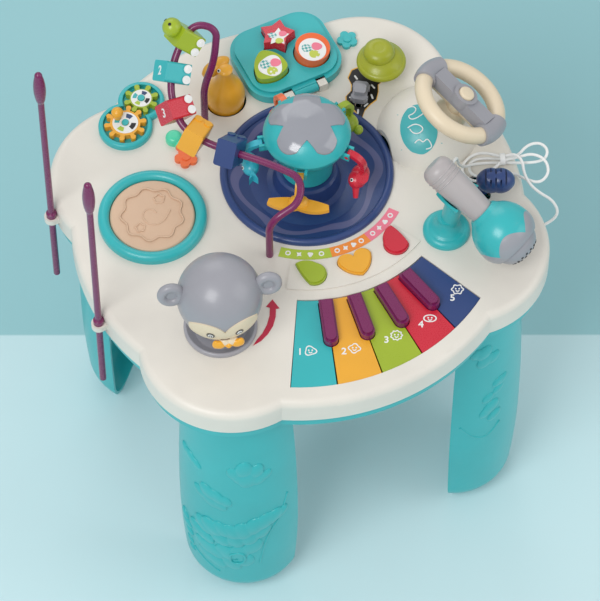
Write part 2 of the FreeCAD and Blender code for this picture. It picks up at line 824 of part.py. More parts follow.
def make_top_shell():
    low = SHELL_LOW
    outer = table_outline("top_outer", 0, low, TOP, size("rim_rounding"))
    inner = table_outline("top_inner", WALL, low - 1, UNDER_TOP)
    skin = cut("top_skin", outer, inner)

    # Keybed tray, sorter bin, bosses and the wheel mound stand on the skin.
    sweep = 5 * size("key_angle")
    start = size("keybed_start")
    bed_low = size("keybed_floor")
    tray = ring_sector(
        "keybed_tray", CAROUSEL, size("keybed_inner_radius") - WALL,
        size("keybed_outer_radius") + 40, start - 1.2, sweep + 2.4, bed_low - WALL, UNDER_TOP,
    )
    rim_zone = cylinder(
        "keybed_zone", size("keybed_outer_radius") + WALL, 40, (0, 0, bed_low - 10))
    tray = common("keybed_tray_cut", tray, rim_zone)
    bin_outer = rounded_block(
        "bin_outer", size("bin_length") + 2 * WALL, size("bin_depth") + 2 * WALL,
        size("bin_floor") - WALL, UNDER_TOP, 23, LID)
    mound = ball("mound", MOUND_BALL, MOUND_MIDDLE)
    mound_top = middle_box("mound_zone", 140, 140, 60, (size("mound_x"), size("mound_y"), TOP - 2))
    mound = common("mound_upper", mound, mound_top)
    panel = ring_sector(
        "button_panel", CAROUSEL, size("panel_inner_radius"), size("panel_outer_radius"),
        -124.5, 62.5, TOP - 1, TOP + size("panel_rise"))
    bosses = []
    for number, foot in enumerate((RAIL_ROUTE[0], RAIL_ROUTE[-1])):
        bosses.append(cylinder(
            f"rail_boss_{number}", size("rail_radius") + 3, 13, (foot[0], foot[1], UNDER_TOP - 13)))
    lugs = []
    lug_holes = []
    for name, (place, angle) in LUGS.items():
        level = TOP - size("lug_depth")
        reach = size("mallet_radius") + 3.4
        lugs.append(cylinder(f"{name}_lug", reach, 6, (*place, level)))
        arm = box(f"{name}_arm", 9, 2 * reach, 6, (-9, -reach, 0))
        lugs.append(held(f"{name}_arm_turned", arm, (*place, level), flat_turn(angle)))
        lug_holes.append(cylinder(f"{name}_hole", size("mallet_radius") + GAP, 8, (*place, level - 1)))
    hinge_ears = []
    hinge_holes = []
    for side in (-1, 1):
        place = (LID_HINGE[0] + side * 16 - 4, LID_HINGE[1] - 4, TOP - 1)
        hinge_ears.append(box(f"hinge_ear_{side + 1}", 8, 7, 10, place))
        hole_at = (LID_HINGE[0] + side * 16 - 5, LID_HINGE[1], LID_HINGE[2])
        hinge_holes.append(cylinder(
            f"hinge_hole_{side + 1}", size("hinge_pin_radius") + size("pin_gap"), 10, hole_at,
            Rotation(Vector(0, 1, 0), 90)))
    ears = []
    ear_holes = []
    for name, place, half in (("duck", DUCK, 19.5), ("shift", SHIFT, 9)):
        pivot = TOP - size("lever_pivot_depth")
        for side in (-1, 1):
            ears.append(middle_box(
                f"{name}_pivot_ear_{side + 1}", 3, 8, WALL + 10,
                (place[0] + side * (half + 2), place[1], pivot - 4)))
            hole_at = (place[0] + side * (half + 2) - 3, place[1], pivot)
            ear_holes.append(cylinder(
                f"{name}_pivot_hole_{side + 1}", size("hinge_pin_radius") + size("pin_gap"), 6,
                hole_at, Rotation(Vector(0, 1, 0), 90)))
    whole = fuse(
        "top_walls", skin, tray, bin_outer, mound, panel, *bosses, *lugs, *hinge_ears, *ears)

    # Openings
    bed = ring_sector(
        "keybed_space", CAROUSEL, size("keybed_inner_radius"), size("keybed_outer_radius") + 40,
        start, sweep, bed_low, TOP + 3)
    bed_zone = cylinder("keybed_space_zone", size("keybed_outer_radius"), 40, (0, 0, bed_low - 1))
    bed = common("keybed_space_cut", bed, bed_zone)
    holes = [bed]
    holes.append(rounded_block(
        "bin_space", size("bin_length"), size("bin_depth"), size("bin_floor"), TOP + 3, 20, LID))
    low_cut = UNDER_TOP - 2
    holes.append(cylinder("dish_relief", size("dish_radius") + GAP, 40, (*CAROUSEL, TOP)))
    depth = WALL + 6
    holes.append(cylinder("dish_hole", size("dish_hole_radius") + 0.3, depth, (*CAROUSEL, low_cut)))
    holes.append(cylinder("drum_hole", size("drum_hole_radius") + 0.3, depth, (*DRUM, low_cut)))
    holes.append(cylinder("bowl_hole", size("bowl_hole_radius") + GAP, depth, (*MONKEY, low_cut)))
    holes.append(cylinder("duck_hole", size("duck_radius") + 1.4, depth, (*DUCK, low_cut)))
    holes.append(cylinder("tree_hole", 5 + size("pin_gap"), depth, (*TREE, low_cut)))
    holes.append(rounded_block("shift_slot", 15, 28, low_cut, TOP + 4, 6, SHIFT))
    holes.append(rounded_block(
        "road_slot", size("road_slot_length") + 5, 5, low_cut, TOP + 4, 2.4, TOY_CAR,
        flat_turn(size("road_line"))))
    holes.append(cylinder("crank_hole", 3.2, depth, (*CRANK, low_cut)))
    holes.append(cylinder("driven_hole", 3.2, depth, (*DRIVEN, low_cut)))
    for number, foot in enumerate((RAIL_ROUTE[0], RAIL_ROUTE[-1])):
        holes.append(cylinder(
            f"rail_hole_{number}", size("rail_radius"), 20, (foot[0], foot[1], UNDER_TOP - 11.2)))
    for name, (step, outline, roll) in BUTTONS.items():
        angle, place = button_place(step)
        turn = flat_turn(float(angle) + 90 + roll)
        holes.append(plate(
            f"{name}_hole", outline(BUTTON_REACH + GAP), depth, (*place, low_cut), turn))
    down = tuple(-part for part in WHEEL_NORMAL)
    holes.append(cylinder(
        "column_hole", size("column_radius") + size("pin_gap"), size("column_length") + 24, WHEEL,
        axis_turn(down)))
    holes.append(cylinder("cord_hole", size("cord_diameter") / 2.0 + 0.2, 24,
                          (176, -99, TOP - 17), Rotation(Vector(0, 1, 0), 90)))
    mound_hollow = ball("mound_hollow", MOUND_BALL - WALL, MOUND_MIDDLE)
    guide = cylinder(
        "column_guide", size("column_radius") + 3.5, size("column_length") + 14, WHEEL,
        axis_turn(down))
    guide_zone = middle_box("guide_zone", 100, 100, 40, (size("mound_x"), size("mound_y"), TOP - 12))
    guide = common("column_guide_cut", guide, guide_zone)
    guide = cut("column_guide_bored", guide, cylinder(
        "column_bore", size("column_radius") + size("pin_gap"), size("column_length") + 24, WHEEL,
        axis_turn(down)))
    hollow_floor = cylinder("mound_floor_hole", size("mound_radius") - 6, 10,
                            (size("mound_x"), size("mound_y"), UNDER_TOP - 4))
    hollow_zone = middle_box(
        "hollow_zone", 140, 140, 60, (size("mound_x"), size("mound_y"), UNDER_TOP - 4))
    mound_hollow = common("mound_hollow_cut", mound_hollow, hollow_zone)
    whole = cut("top_bored", whole, *holes, *lug_holes, *hinge_holes, *ear_holes,
                mound_hollow, hollow_floor)
    inside = common("column_guide_inside", guide, fuse("mound_copy", mound, hollow_floor))
    return fuse("top_shell", whole, inside)


def make_bottom_shell():
    inset = size("base_inset")
    outer = table_outline("base_outer", inset, BASE_LOW, SHELL_LOW)
    inner = table_outline("base_inner", inset + WALL, BASE_FLOOR, SHELL_LOW + 1)
    tray = cut("base_tray", outer, inner)
    posts = []
    bores = []
    for name, place in (("carousel", CAROUSEL), ("monkey", MONKEY)):
        posts.append(cylinder(f"{name}_bearing", 9, 5, (*place, BASE_FLOOR - 0.5)))
        bores.append(cylinder(
            f"{name}_bearing_bore", size("spindle_radius") + size("pin_gap"), 6,
            (*place, BASE_FLOOR + 0.5)))
    posts.append(cylinder("idler_step", 8, 5.8, (*IDLER, BASE_FLOOR - 0.5)))
    posts.append(cylinder("idler_pin", 4, 16, (*IDLER, BASE_FLOOR - 0.5)))
    for number, (x, y) in enumerate(((-30, -152), (44, -152), (-30, -132), (44, -132))):
        posts.append(cylinder(f"board_post_{number}", 3, 4, (x, y, BASE_FLOOR - 0.5)))
    cover = middle_box("battery_opening", size("battery_length"), size("battery_width"),
                       WALL + 2, (*BATTERY, BASE_LOW - 1))
    holes = [cover]
    for name, (sx, sy) in LEGS.items():
        for number, peg in enumerate(leg_pegs(sx, sy)):
            holes.append(cylinder(
                f"{name}_socket_{number}", size("leg_peg_radius") + 0.1, WALL + 2,
                (*peg, BASE_LOW - 1)))
    return cut("bottom_shell", fuse("base_posts", tray, *posts), *holes, *bores)


def leg_pegs(sx, sy):
    """Where a leg's two pegs stand."""
    outward = math.degrees(math.atan2(sy, sx))
    middle = (sx * size("leg_axis"), sy * size("leg_axis"))
    return [polar(32, outward + side * 38, middle) for side in (-1, 1)]


def leg_profile(inset):
    """Half of a leg's outline, from the sole to the top, less a wall."""
    sole = size("leg_sole_radius")
    toe = size("leg_toe_rounding")
    belly = size("leg_belly_radius") - inset
    level = size("leg_belly_height")
    high = BASE_LOW - inset
    edge = (sole, toe)
    return [
        (0, inset),
        (sole, inset, arc_point(edge, toe - inset, -45)),
        (sole + toe - inset, toe, (belly - 0.9, (toe + level) / 2.0)),
        (belly, level, (belly - 1.6, (level + BASE_LOW) / 2.0)),
        (size("leg_top_radius") - inset, high),
        (0, high),
    ]


def make_leg(name, sx, sy):
    outer = turned(f"{name}_outer", leg_profile(0 * size("leg_wall")))
    inner = turned(f"{name}_inner", leg_profile(size("leg_wall")))
    reach = size("leg_belly_radius") + 5
    back = box(f"{name}_back", reach + size("leg_back_cut"), 2 * reach, BASE_LOW + 10,
               (-reach, -reach, -5))
    shell = cut(f"{name}_shell", outer, inner, back)
    put(shell, (sx * size("leg_axis"), sy * size("leg_axis"), 0),
        flat_turn(math.degrees(math.atan2(sy, sx))))
    pegs = [
        cylinder(f"{name}_peg_{number}", size("leg_peg_radius"), size("leg_peg_height") + 1,
                 (*peg, BASE_LOW - 1))
        for number, peg in enumerate(leg_pegs(sx, sy))
    ]
    return fuse(name, shell, *pegs)


def make_battery_cover():
    length = size("battery_length") - 0.6
    width = size("battery_width") - 0.6
    middle = BATTERY
    panel = middle_box("cover_panel", length, width, WALL - 0.4, (*middle, BASE_LOW))
    lips = [
        middle_box(f"cover_lip_{side + 1}", 4, 14, 1.6,
                   (middle[0] + side * (length / 2.0 + 1), middle[1], BASE_FLOOR))
        for side in (-1, 1)
    ]
    webs = [
        middle_box(f"cover_web_{side + 1}", 1.6, 14, 3,
                   (middle[0] + side * (length / 2.0 - 0.8), middle[1], BASE_FLOOR - 1.4))
        for side in (-1, 1)
    ]
    return fuse("battery_cover", panel, *lips, *webs)


def make_circuit_board():
    board = middle_box("board_plate", size("board_length"), size("board_width"), 1.6,
                       (7, -142, BASE_FLOOR + 3.5))
    speaker = cylinder("speaker_can", 14, 5, (24, -142, BASE_FLOOR + 5.1))
    return fuse("circuit_board", board, speaker)


def make_carousel_dish():
    radius = size("dish_radius")
    rise = size("dish_rim_rise")
    seat = TOP
    rounding = size("dish_rim_rounding")
    rim = (radius - rounding, seat + rise - rounding)
    floor = size("dish_floor")
    plinth = size("plinth_radius")
    corners = [
        (size("spindle_radius") + GAP, floor - WALL),
        (48, floor - WALL),
        (size("dish_hole_radius") - 2, UNDER_TOP - 2),
        (size("dish_hole_radius"), UNDER_TOP),
        (size("dish_hole_radius"), seat),
        (radius, seat),
        (radius, seat + rise - rounding, arc_point(rim, rounding, 45)),
        (radius - rounding, seat + rise, arc_point(rim, rounding, 135)),
        (radius - 2 * rounding, seat + rise - rounding),
        (50, floor + 2),
        (plinth + 8, floor),
        (plinth + 3, floor + 1.5),
        (plinth, size("plinth_height") - 2),
        (plinth - 2, size("plinth_height")),
        (size("spindle_radius") + GAP, size("plinth_height")),
    ]
    return turned("carousel_dish", corners, (*CAROUSEL, 0))


def make_carousel_dome():
    pillar = size("pillar_radius")
    dome = size("dome_radius")
    level = size("dome_level")
    low = size("plinth_height") + GAP
    top = level + size("dome_rise")
    flare = level - 22
    spindle = size("spindle_radius")
    corners = [
        (0, BASE_FLOOR + 0.7),
        (spindle, BASE_FLOOR + 0.7),
        (spindle, low),
        (pillar - 1.5, low),
        (pillar, low + 2),
        (pillar, flare - 4, (pillar + 2.5, flare + 1)),
        (pillar + 7, flare + 5, (dome - 3, level - 9)),
        (dome, level, (dome - 7.5, level + 12.5)),
        (dome - 21, top - 1.6),
        (0, top - 1.6 + 1.2),
    ]
    shell = turned("dome_shell", corners, (*CAROUSEL, 0))
    lens_seat = lens_solid("lens_seat", 0.05)
    wheel = gear("carousel_gear", size("carousel_teeth"), CAROUSEL_PITCH,
                 (*CAROUSEL, size("gear_level")), spindle - 0.5, 5 + float(size("monkey_line")))
    ears = []
    holes = []
    for number in range(5):
        angle = figure_angle(number)
        turn = flat_turn(angle)
        for side in (-1, 1):
            ear = box(f"dome_ear_{number}_{side + 1}", 9, 2.4, 7,
                      (dome - 4.5, side * (size("strap_width") / 2.0 + 0.3 + 1.2) - 1.2, level - 10))
            ears.append(held(f"dome_ear_turned_{number}_{side + 1}", ear, (*CAROUSEL, 0), turn))
        pin = cylinder(f"dome_pin_hole_{number}", size("swing_pin_radius") + size("pin_gap"), 18,
                       (figure_pin_radius(), -9 + 18, level - 6.5), Rotation(Vector(1, 0, 0), 90))
        holes.append(held(f"dome_pin_hole_turned_{number}", pin, (*CAROUSEL, 0), turn))
    whole = fuse("dome_whole", shell, wheel, *ears)
    return cut("carousel_dome", whole, lens_seat, *holes)


def figure_angle(number):
    return -52 - 72 * number


def figure_pin_radius():
    return size("dome_radius") + 2.2


def lens_solid(label, grow):
    """The grey cap with a petalled edge, let into the top of the dome."""
    dome = float(size("dome_radius"))
    level = float(size("dome_level"))
    top = level + float(size("dome_rise"))
    petals = []
    reach = dome - 7 + grow
    waist = dome - 17 + grow
    points = []
    for petal in range(5):
        middle = 64 + petal * 72
        points.append((reach, middle - 20))
        points.append((reach + 3, middle))
        points.append((reach, middle + 20))
        points.append((waist, middle + 36))
    for radius, angle in points:
        turn = math.radians(angle)
        petals.append(Vector(radius * math.cos(turn), radius * math.sin(turn), level - 2))
    edges = []
    count = len(petals)
    for index in range(0, count, 4):
        first, crest, last, notch = petals[index:index + 4]
        following = petals[(index + 4) % count]
        edges.append(Part.Arc(first, crest, last).toShape())
        edges.append(Part.LineSegment(last, notch).toShape())
        edges.append(Part.LineSegment(notch, following).toShape())
    prism = Part.Face(Part.Wire(edges)).extrude(Vector(0, 0, top - level + 6))
    depth = float(size("lens_depth")) + grow
    outer = lens_cap(dome, level, top, 0.9)
    inner = lens_cap(dome, level, top, 0.9 - depth)
    shape = outer.common(prism).cut(inner)
    return feature(label, shape, (*CAROUSEL, 0))


def lens_cap(dome, level, top, grow):
    """The dome's upper surface as a solid of revolution, swollen or shrunk."""
    edge = Vector(dome + grow, 0, level)
    knee = Vector(dome - 7.5 + grow * 0.8, 0, level + 12.5 + grow * 0.6)
    crown = Vector(dome - 21, 0, top - 1.6 + grow)
    tip = Vector(0, 0, top - 0.4 + grow)
    foot = Vector(0, 0, level)
    edges = [
        Part.Arc(edge, knee, crown).toShape(),
        Part.LineSegment(crown, tip).toShape(),
        Part.LineSegment(tip, foot).toShape(),
        Part.LineSegment(foot, edge).toShape(),
    ]
    return Part.Face(Part.Wire(edges)).revolve(Vector(), Vector(0, 0, 1), 360)


def make_figure(name, number, body_pieces):
    """A swinging figure: a curved strap from its pin down to the body."""
    pin_x = figure_pin_radius()
    pin_z = size("dome_level") - 6.5
    thick = size("strap_thickness")
    reach = size("figure_radius")
    foot = size("figure_level")
    outer = reach + 5
    corners = [
        (pin_x - 1, pin_z + 2, (outer - 3, pin_z - 2)),
        (outer, foot + 10),
        (outer - 2.5, foot + 1),
        (outer - 2.5 - thick, foot + 1),
        (outer - thick, foot + 10, (outer - 3 - thick, pin_z - 5)),
        (pin_x - 1, pin_z - 1.5),
    ]
    body = named("PartDesign::Body", f"{name}_strap")
    sketch = outline_sketch(body, f"{name}_strap_outline", "XZ_Plane", corners)
    pad = body.newObject("PartDesign::Pad", f"{name}_strap_pad")
    pad.Profile = sketch
    bind(pad, "Length", size("strap_width"))
    pad.Midplane = True
    pin = cylinder(f"{name}_pin", size("swing_pin_radius"), size("strap_width") + 5,
                   (pin_x, size("strap_width") / 2.0 + 2.5, pin_z), Rotation(Vector(1, 0, 0), 90))
    whole = fuse(name, body, pin, *body_pieces)
    return put(whole, (*CAROUSEL, 0), flat_turn(figure_angle(number)))


def make_figures():
    """Five generic creatures hang round the carousel."""
    reach = size("figure_radius")
    level = size("figure_level")
    sideways = axis_turn((0, 1, 0))
    elephant = [
        bean("elephant_body", 7.5, 12, (reach, 0, level), sideways),
        cone("elephant_trunk", 3.4, 2.2, 11, (reach + 1, -8, level - 3),
             axis_turn((0.25, -0.55, -0.8))),
        cylinder("elephant_ears", 5.5, 2.6, (reach + 4, -3, level + 4.5), axis_turn((0.5, -0.4, 1))),
    ]
    bird = [
        bean("bird_body", 6.5, 9, (reach, 0, level), sideways),
        plate("bird_wings", [
            (0, -26), (5, -27, (9, -13)), (7, 0, (9, 13)), (5, 27), (0, 26, (-3, 12)),
            (-4, 0, (-3, -12)),
        ], 4, (reach, 0, level - 2)),
    ]
    fish = [
        bean("fish_body", 7, 11, (reach, 0, level - 1), sideways),
        plate("fish_tail", [(0, 8), (4, 19), (0, 15), (-4, 19)], 9, (reach, 0, level - 5)),
    ]
    fox = [
        bean("fox_body", 6.5, 10, (reach, 0, level), sideways),
        cone("fox_nose", 4.5, 1.5, 8, (reach, -8, level), axis_turn((0, -1, -0.3))),
    ]
    turtle = [
        bean("turtle_shell", 8, 11, (reach, 0, level), sideways),
        ball("turtle_head", 4.4, (reach + 1, -13, level - 1)),
    ]
    pieces = (
        ("figure_elephant", elephant), ("figure_bird", bird), ("figure_fish", fish),
        ("figure_fox", fox), ("figure_turtle", turtle),
    )
    return [make_figure(name, number, body) for number, (name, body) in enumerate(pieces)]


def make_monkey_bowl():
    """The turning bowl with its shaft and gear."""
    radius = size("bowl_radius")
    hole = size("bowl_hole_radius")
    seat = TOP + GAP
    spindle = size("spindle_radius")
    corners = [
        (0, BASE_FLOOR + 0.7),
        (spindle, BASE_FLOOR + 0.7),
        (spindle, seat - 8),
        (hole - 6, seat - 7),
        (hole, seat - 2),
        (hole, seat),
        (radius, seat),
        (radius, seat + 2, (radius - 0.8, seat + 3.6)),
        (radius - 2.4, seat + 4),
        (radius - 9, seat - 1),
        (14, seat - 4),
        (0, seat - 4),
    ]
    bowl = turned("bowl_turned", corners, (*MONKEY, 0))
    wheel = gear("monkey_gear", size("monkey_teeth"), MONKEY_PITCH,
                 (*MONKEY, size("gear_level")), spindle - 0.5,
                 float(size("monkey_line")) + 180.0 / float(size("monkey_teeth")))
    return fuse("monkey_bowl", bowl, wheel)


def make_monkey_head():
    skull = ball("monkey_skull", size("monkey_head_radius"))
    floor = size("monkey_head_level") - (TOP + GAP - 4)
    neck = cylinder("monkey_neck", 13.5, floor - 20, (0, 0, -floor))
    ears = []
    for side in (-1, 1):
        middle = (2, side * 41, 13)
        ears.append(torus(f"monkey_ear_{side + 1}", size("ear_radius") - 4, 4, middle,
                          Rotation(Vector(0, 1, 0), 78)))
        ears.append(cylinder(f"monkey_ear_web_{side + 1}", size("ear_radius") - 4, 3,
                             (0.5, side * 41, 13), Rotation(Vector(0, 1, 0), 78)))
    head = fuse("monkey_head_whole", skull, neck, *ears)
    head = cut("monkey_head", head, face_zone("face_seat", 0.02))
    return put(head, (*MONKEY, size("monkey_head_level")), flat_turn(size("monkey_facing")))


def face_zone(label, grow):
    """The heart-shaped face plate: a skin of the head inside a heart outline."""
    skin = float(size("face_skin"))
    radius = float(size("monkey_head_radius"))
    points = [Vector(0, 0, -1.5), Vector(0, 14, 8), Vector(0, 29, 0), Vector(0, 26, -15)]
    low = Vector(0, 0, -27)
    mirror = [Vector(0, -p.y, p.z) for p in points]
    edges = [
        Part.Arc(points[0], points[1], points[2]).toShape(),
        Part.Arc(points[2], points[3], low).toShape(),
        Part.Arc(low, mirror[3], mirror[2]).toShape(),
        Part.Arc(mirror[2], mirror[1], mirror[0]).toShape(),
    ]
    prism = Part.Face(Part.Wire(edges)).extrude(Vector(60, 0, 0))
    outer = Part.makeSphere(radius + skin)
    plate_shape = outer.common(prism).cut(Part.makeSphere(radius - 1 - grow))
    return feature(label, plate_shape)


def make_monkey_face():
    face = face_zone("face_plate", 0)
    bow = bean("face_bow", 4, 8.5, (30, 3, -25), axis_turn((0, 1, 0)))
    clearance = ball("face_bow_tool", size("monkey_head_radius") + size("face_skin") + 0.05)
    bow = cut("face_bow_cut", bow, clearance)
    whole = fuse("monkey_face", face, bow)
    return put(whole, (*MONKEY, size("monkey_head_level")), flat_turn(size("monkey_facing")))


def make_idler_gear():
    phase = float(size("monkey_line")) + 180
    return gear("idler_gear", size("idler_teeth"), IDLER_PITCH, (*IDLER, size("gear_level")),
                4 + size("pin_gap"), phase)


def make_drum():
    ring = size("drum_ring_radius")
    pad = size("drum_pad_radius")
    bore = pad + GAP
    crest = ((ring + bore) / 2.0, TOP + 9)
    corners = [
        (bore, TOP - 8),
        (size("drum_hole_radius"), TOP - 8),
        (size("drum_hole_radius"), TOP),
        (ring, TOP),
        (ring, TOP + 4, (ring - 1.6, TOP + 7.6)),
        (crest[0], crest[1], (bore + 1.4, TOP + 7.6)),
        (bore, TOP + 4),
    ]
    holder = turned("drum_ring_turned", corners, (*DRUM, 0))
    shelf = cut(
        "drum_shelf", cylinder("drum_shelf_disc", size("drum_hole_radius"), 2, (*DRUM, TOP - 10)),
        cylinder("drum_shelf_hole", 7, 4, (*DRUM, TOP - 11)))
    drum_ring = fuse("drum_ring", holder, shelf)
    low = TOP - 8 + size("drum_travel") + 0.5
    face = TOP + 6
    pad_corners = [
        (0, low - 4),
        (6, low - 4),
        (6, low),
        (pad, low),
        (pad, face - 2, (pad - 0.7, face - 0.7)),
        (pad - 2, face, (pad / 2.0, face + 1.2)),
        (4, face + 1.6),
        (0, face + 1.6),
    ]
    drum_pad = turned("drum_pad", pad_corners, (*DRUM, 0))
    return drum_ring, drum_pad


def make_bead_rail():
    corners = lifted(RAIL_ROUTE)
    tube, wire = route_tube("bead_rail", corners, float(size("rail_radius")) - 0.02)
    return feature("bead_rail", tube)


def make_car(name, run):
    """A block on the rail with a loose bore, wheel discs and a coupling nose."""
    width = size("car_width")
    length = size("car_length")
    middle, along, turn = rail_frame(run)
    half = width / 2.0
    body = rounded_block(f"{name}_body", length, width, -half, half, 2.2, (0, 0))
    extras = []
    for end in (-1, 1):
        disc = cylinder(f"{name}_wheel_{end + 1}", 3.6, 1.2,
                        (end * length * 0.26, half - 0.2, -half + 4.2), Rotation(Vector(1, 0, 0), -90))
        far = cylinder(f"{name}_far_wheel_{end + 1}", 3.6, 1.2,
                       (end * length * 0.26, -half + 0.2, -half + 4.2), Rotation(Vector(1, 0, 0), 90))
        extras += [disc, far]
    if name == "car_lime":
        extras.append(ball(f"{name}_snout", 8.5, (3, 0, half + 5)))
        extras.append(cylinder(f"{name}_neck", 5, 7, (3, 0, half - 2)))
    whole = put(fuse(f"{name}_whole", body, *extras), tuple(middle), turn)
    if name == "car_navy":
        start = middle - along * (length.value / 2 + 2)
        bore = cylinder(f"{name}_bore", size("rail_radius") + size("car_gap"), length + 4,
                        tuple(start), axis_turn(tuple(along)))
    else:
        bore = feature(f"{name}_bore", rail_space())
    return cut(name, whole, bore)


def rail_space():
    """The room that a car needs round the rail."""
    wire = route_wire(lifted(RAIL_ROUTE))[0]
    radius = float(size("rail_radius") + size("car_gap"))
    circle = Part.makeCircle(radius, lifted(RAIL_ROUTE)[0], Vector(0, 0, 1))
    return wire.makePipeShell([Part.Wire(circle)], True, False)


def make_gear_tray():
    """The teal surround of the two play gears, with their posts."""
    rim = size("tray_rim_rise")
    floor = size("tray_floor_rise")
    lobes = []
    spaces = []
    for name, place, pitch in (("crank", CRANK, CRANK_PITCH), ("driven", DRIVEN, DRIVEN_PITCH)):
        reach = pitch + size("knob_radius")
        lobes.append(rounded_disc(f"{name}_lobe", reach + 5.2, TOP, TOP + rim, 2.4, (*place, 0)))
        spaces.append(cylinder(f"{name}_space", reach + 1.2, rim, (*place, TOP + floor)))
    posts = []
    for name, place in (("crank", CRANK), ("driven", DRIVEN)):
        posts.append(cylinder(f"{name}_post", 3, rim + 5, (*place, TOP - 1)))
        posts.append(cylinder(f"{name}_plug", 3, 8, (*place, TOP - 7)))
    tray = cut("tray_body", fuse("tray_lobes", *lobes), *spaces)
    return fuse("gear_tray", tray, *posts)


def make_play_gears():
    floor = TOP + size("tray_floor_rise") + 0.3
    line = float(size("driven_line"))
    crank_disc = knob_gear("crank_disc", size("crank_teeth"), CRANK_PITCH, line + 18)
    bore = cylinder("crank_bore", 3 + size("pin_gap"), 8.5, (0, 0, -1))
    knob = turned("crank_knob", [
        (0, 5), (3.4, 5), (3.4, 9), (4.6, 11, (5.2, 14.5)), (3, 17.5), (1.6, 18.3), (0, 18.5),
    ], (*polar(CRANK_PITCH - 7.5, 115), 0))
    crank = cut("crank_gear", fuse("crank_whole", crank_disc, knob), bore)
    put(crank, (*CRANK, floor))
    driven_disc = knob_gear("driven_disc", size("driven_teeth"), DRIVEN_PITCH, line + 180)
    driven_bore = cylinder("driven_bore", 3 + size("pin_gap"), 8.5, (0, 0, -1))
    driven = cut("driven_gear", driven_disc, driven_bore)
    put(driven, (*DRIVEN, floor))
    return crank, driven


def make_badges():
    """Moulded flowers and a little creature pressed onto the top."""
    pieces = []
    for name, (x, y), reach in (("orange_flower", (-65, 90), 10), ("teal_flower", (118, 142), 9)):
        petals = [
            cylinder(f"{name}_petal_{petal}", reach * 0.42, 3.4,
                     (*polar(reach * 0.62, 72 * petal + 20, (x, y)), TOP))
            for petal in range(5)
        ]
        petals.append(cylinder(f"{name}_eye", reach * 0.4, 4.4, (x, y, TOP)))
        pieces.append(fuse(name, *petals))
    creature = [
        rounded_disc("creature_body", 7.5, TOP, TOP + 8, 4.5, (-66, 113, 0)),
        rounded_disc("creature_foot", 5, TOP, TOP + 6, 3, (-64, 104, 0)),
    ]
    pieces.append(fuse("creature", *creature))
    return fuse("flower_badges", *pieces)


def make_mallet(name):
    """A drumstick: an oval head, a collar that rests on the lug, and a long stick."""
    length = size("mallet_length")
    head = size("mallet_head_radius")
    stick = size("mallet_radius")
    collar = size("mallet_drop")
    tip = (head - 1.8, length - 4.5)
    corners = [
        (0, 0),
        (stick - 1, 0, (stick - 0.3, 0.3)),
        (stick, 1),
        (stick, collar),
        (stick + 1.6, collar),
        (stick + 1.6, collar + 5),
        (stick, collar + 6.5),
        (stick - 0.2, length - 42),
        (stick + 0.9, length - 38, (head + 0.1, length - 22)),
        (*tip, (head * 0.5, length - 1.6)),
        (1.1, length - 0.3),
        (0, length),
    ]
    level = TOP - size("lug_depth") + 6 + 0.05 - collar
    return turned(name, corners, (*LUGS[name][0], level))


def make_steering_wheel():
    turn = axis_turn(WHEEL_NORMAL)
    rim = torus("wheel_rim", size("wheel_radius"), size("wheel_rim_radius"))
    length = size("column_length")
    column = cylinder("wheel_column", size("column_radius"), length - 3, (0, 0, -length))
    skirt = cone("wheel_skirt", 15, 10, 9, (0, 0, -17))
    keeper = cylinder("wheel_keeper", size("column_radius") - 2, 6, (0, 0, -length - 6))
    arm = wheel_arm("wheel_arm", 0)
    wheel = fuse("wheel_whole", rim, column, skirt, keeper, arm)
    seat = middle_box("hub_seat", 2 * size("wheel_radius"), 16.4, 12, (0, 0, -3))
    wheel = cut("steering_wheel", wheel, seat)
    return put(wheel, WHEEL, turn * flat_turn(115))


def wheel_arm(label, grow):
    """The arm under the hub that joins the rim, or the room for it."""
    return middle_box(label, 2 * size("wheel_radius"), 9 + grow, 5 + grow, (0, 0, -8 - grow))


def make_wheel_grips():
    turn = axis_turn(WHEEL_NORMAL)
    radius = size("wheel_radius")
    tube = size("wheel_rim_radius")
    shell = torus("grip_shell", radius, tube + 2.2)
    span = 42
    zones = []
    for side in (0, 180):
        zone = cylinder(f"grip_zone_{side}", radius + 15, 24, (0, 0, -12),
                        flat_turn(side - span / 2.0), span)
        zones.append(zone)
    grips = common("grips", shell, fuse("grip_zones", *zones))
    core = torus("grip_core", radius, tube + 0.03)
    grips = cut("grips_hollow", grips, core, wheel_arm("grip_arm_space", 0.1))
    hub = middle_box("hub_bar", 2 * radius - 2 * tube + 3, 16, 11.6, (0, 0, -2.9))
    hub_top = cylinder("hub_boss", 11, 9, (0, 0, 2))
    pocket = cylinder("horn_pocket", 7 + GAP, 8, (0, 0, 6.5))
    stem_hole = cylinder("horn_stem_hole", 3.2, 12, (0, 0, 0))
    hub = cut("hub", fuse("hub_whole", hub, hub_top), pocket, stem_hole)
    whole = fuse("wheel_grips", grips, hub)
    return put(whole, WHEEL, turn * flat_turn(115))


def make_horn_button():
    corners = [
        (0, 2.2), (2.8, 2.2), (2.8, 8.6), (7, 8.6), (7, 12, (6.4, 13.2)), (5, 13.8), (0, 14.4),
    ]
    horn = turned("horn_button", corners)
    return put(horn, WHEEL, axis_turn(WHEEL_NORMAL))


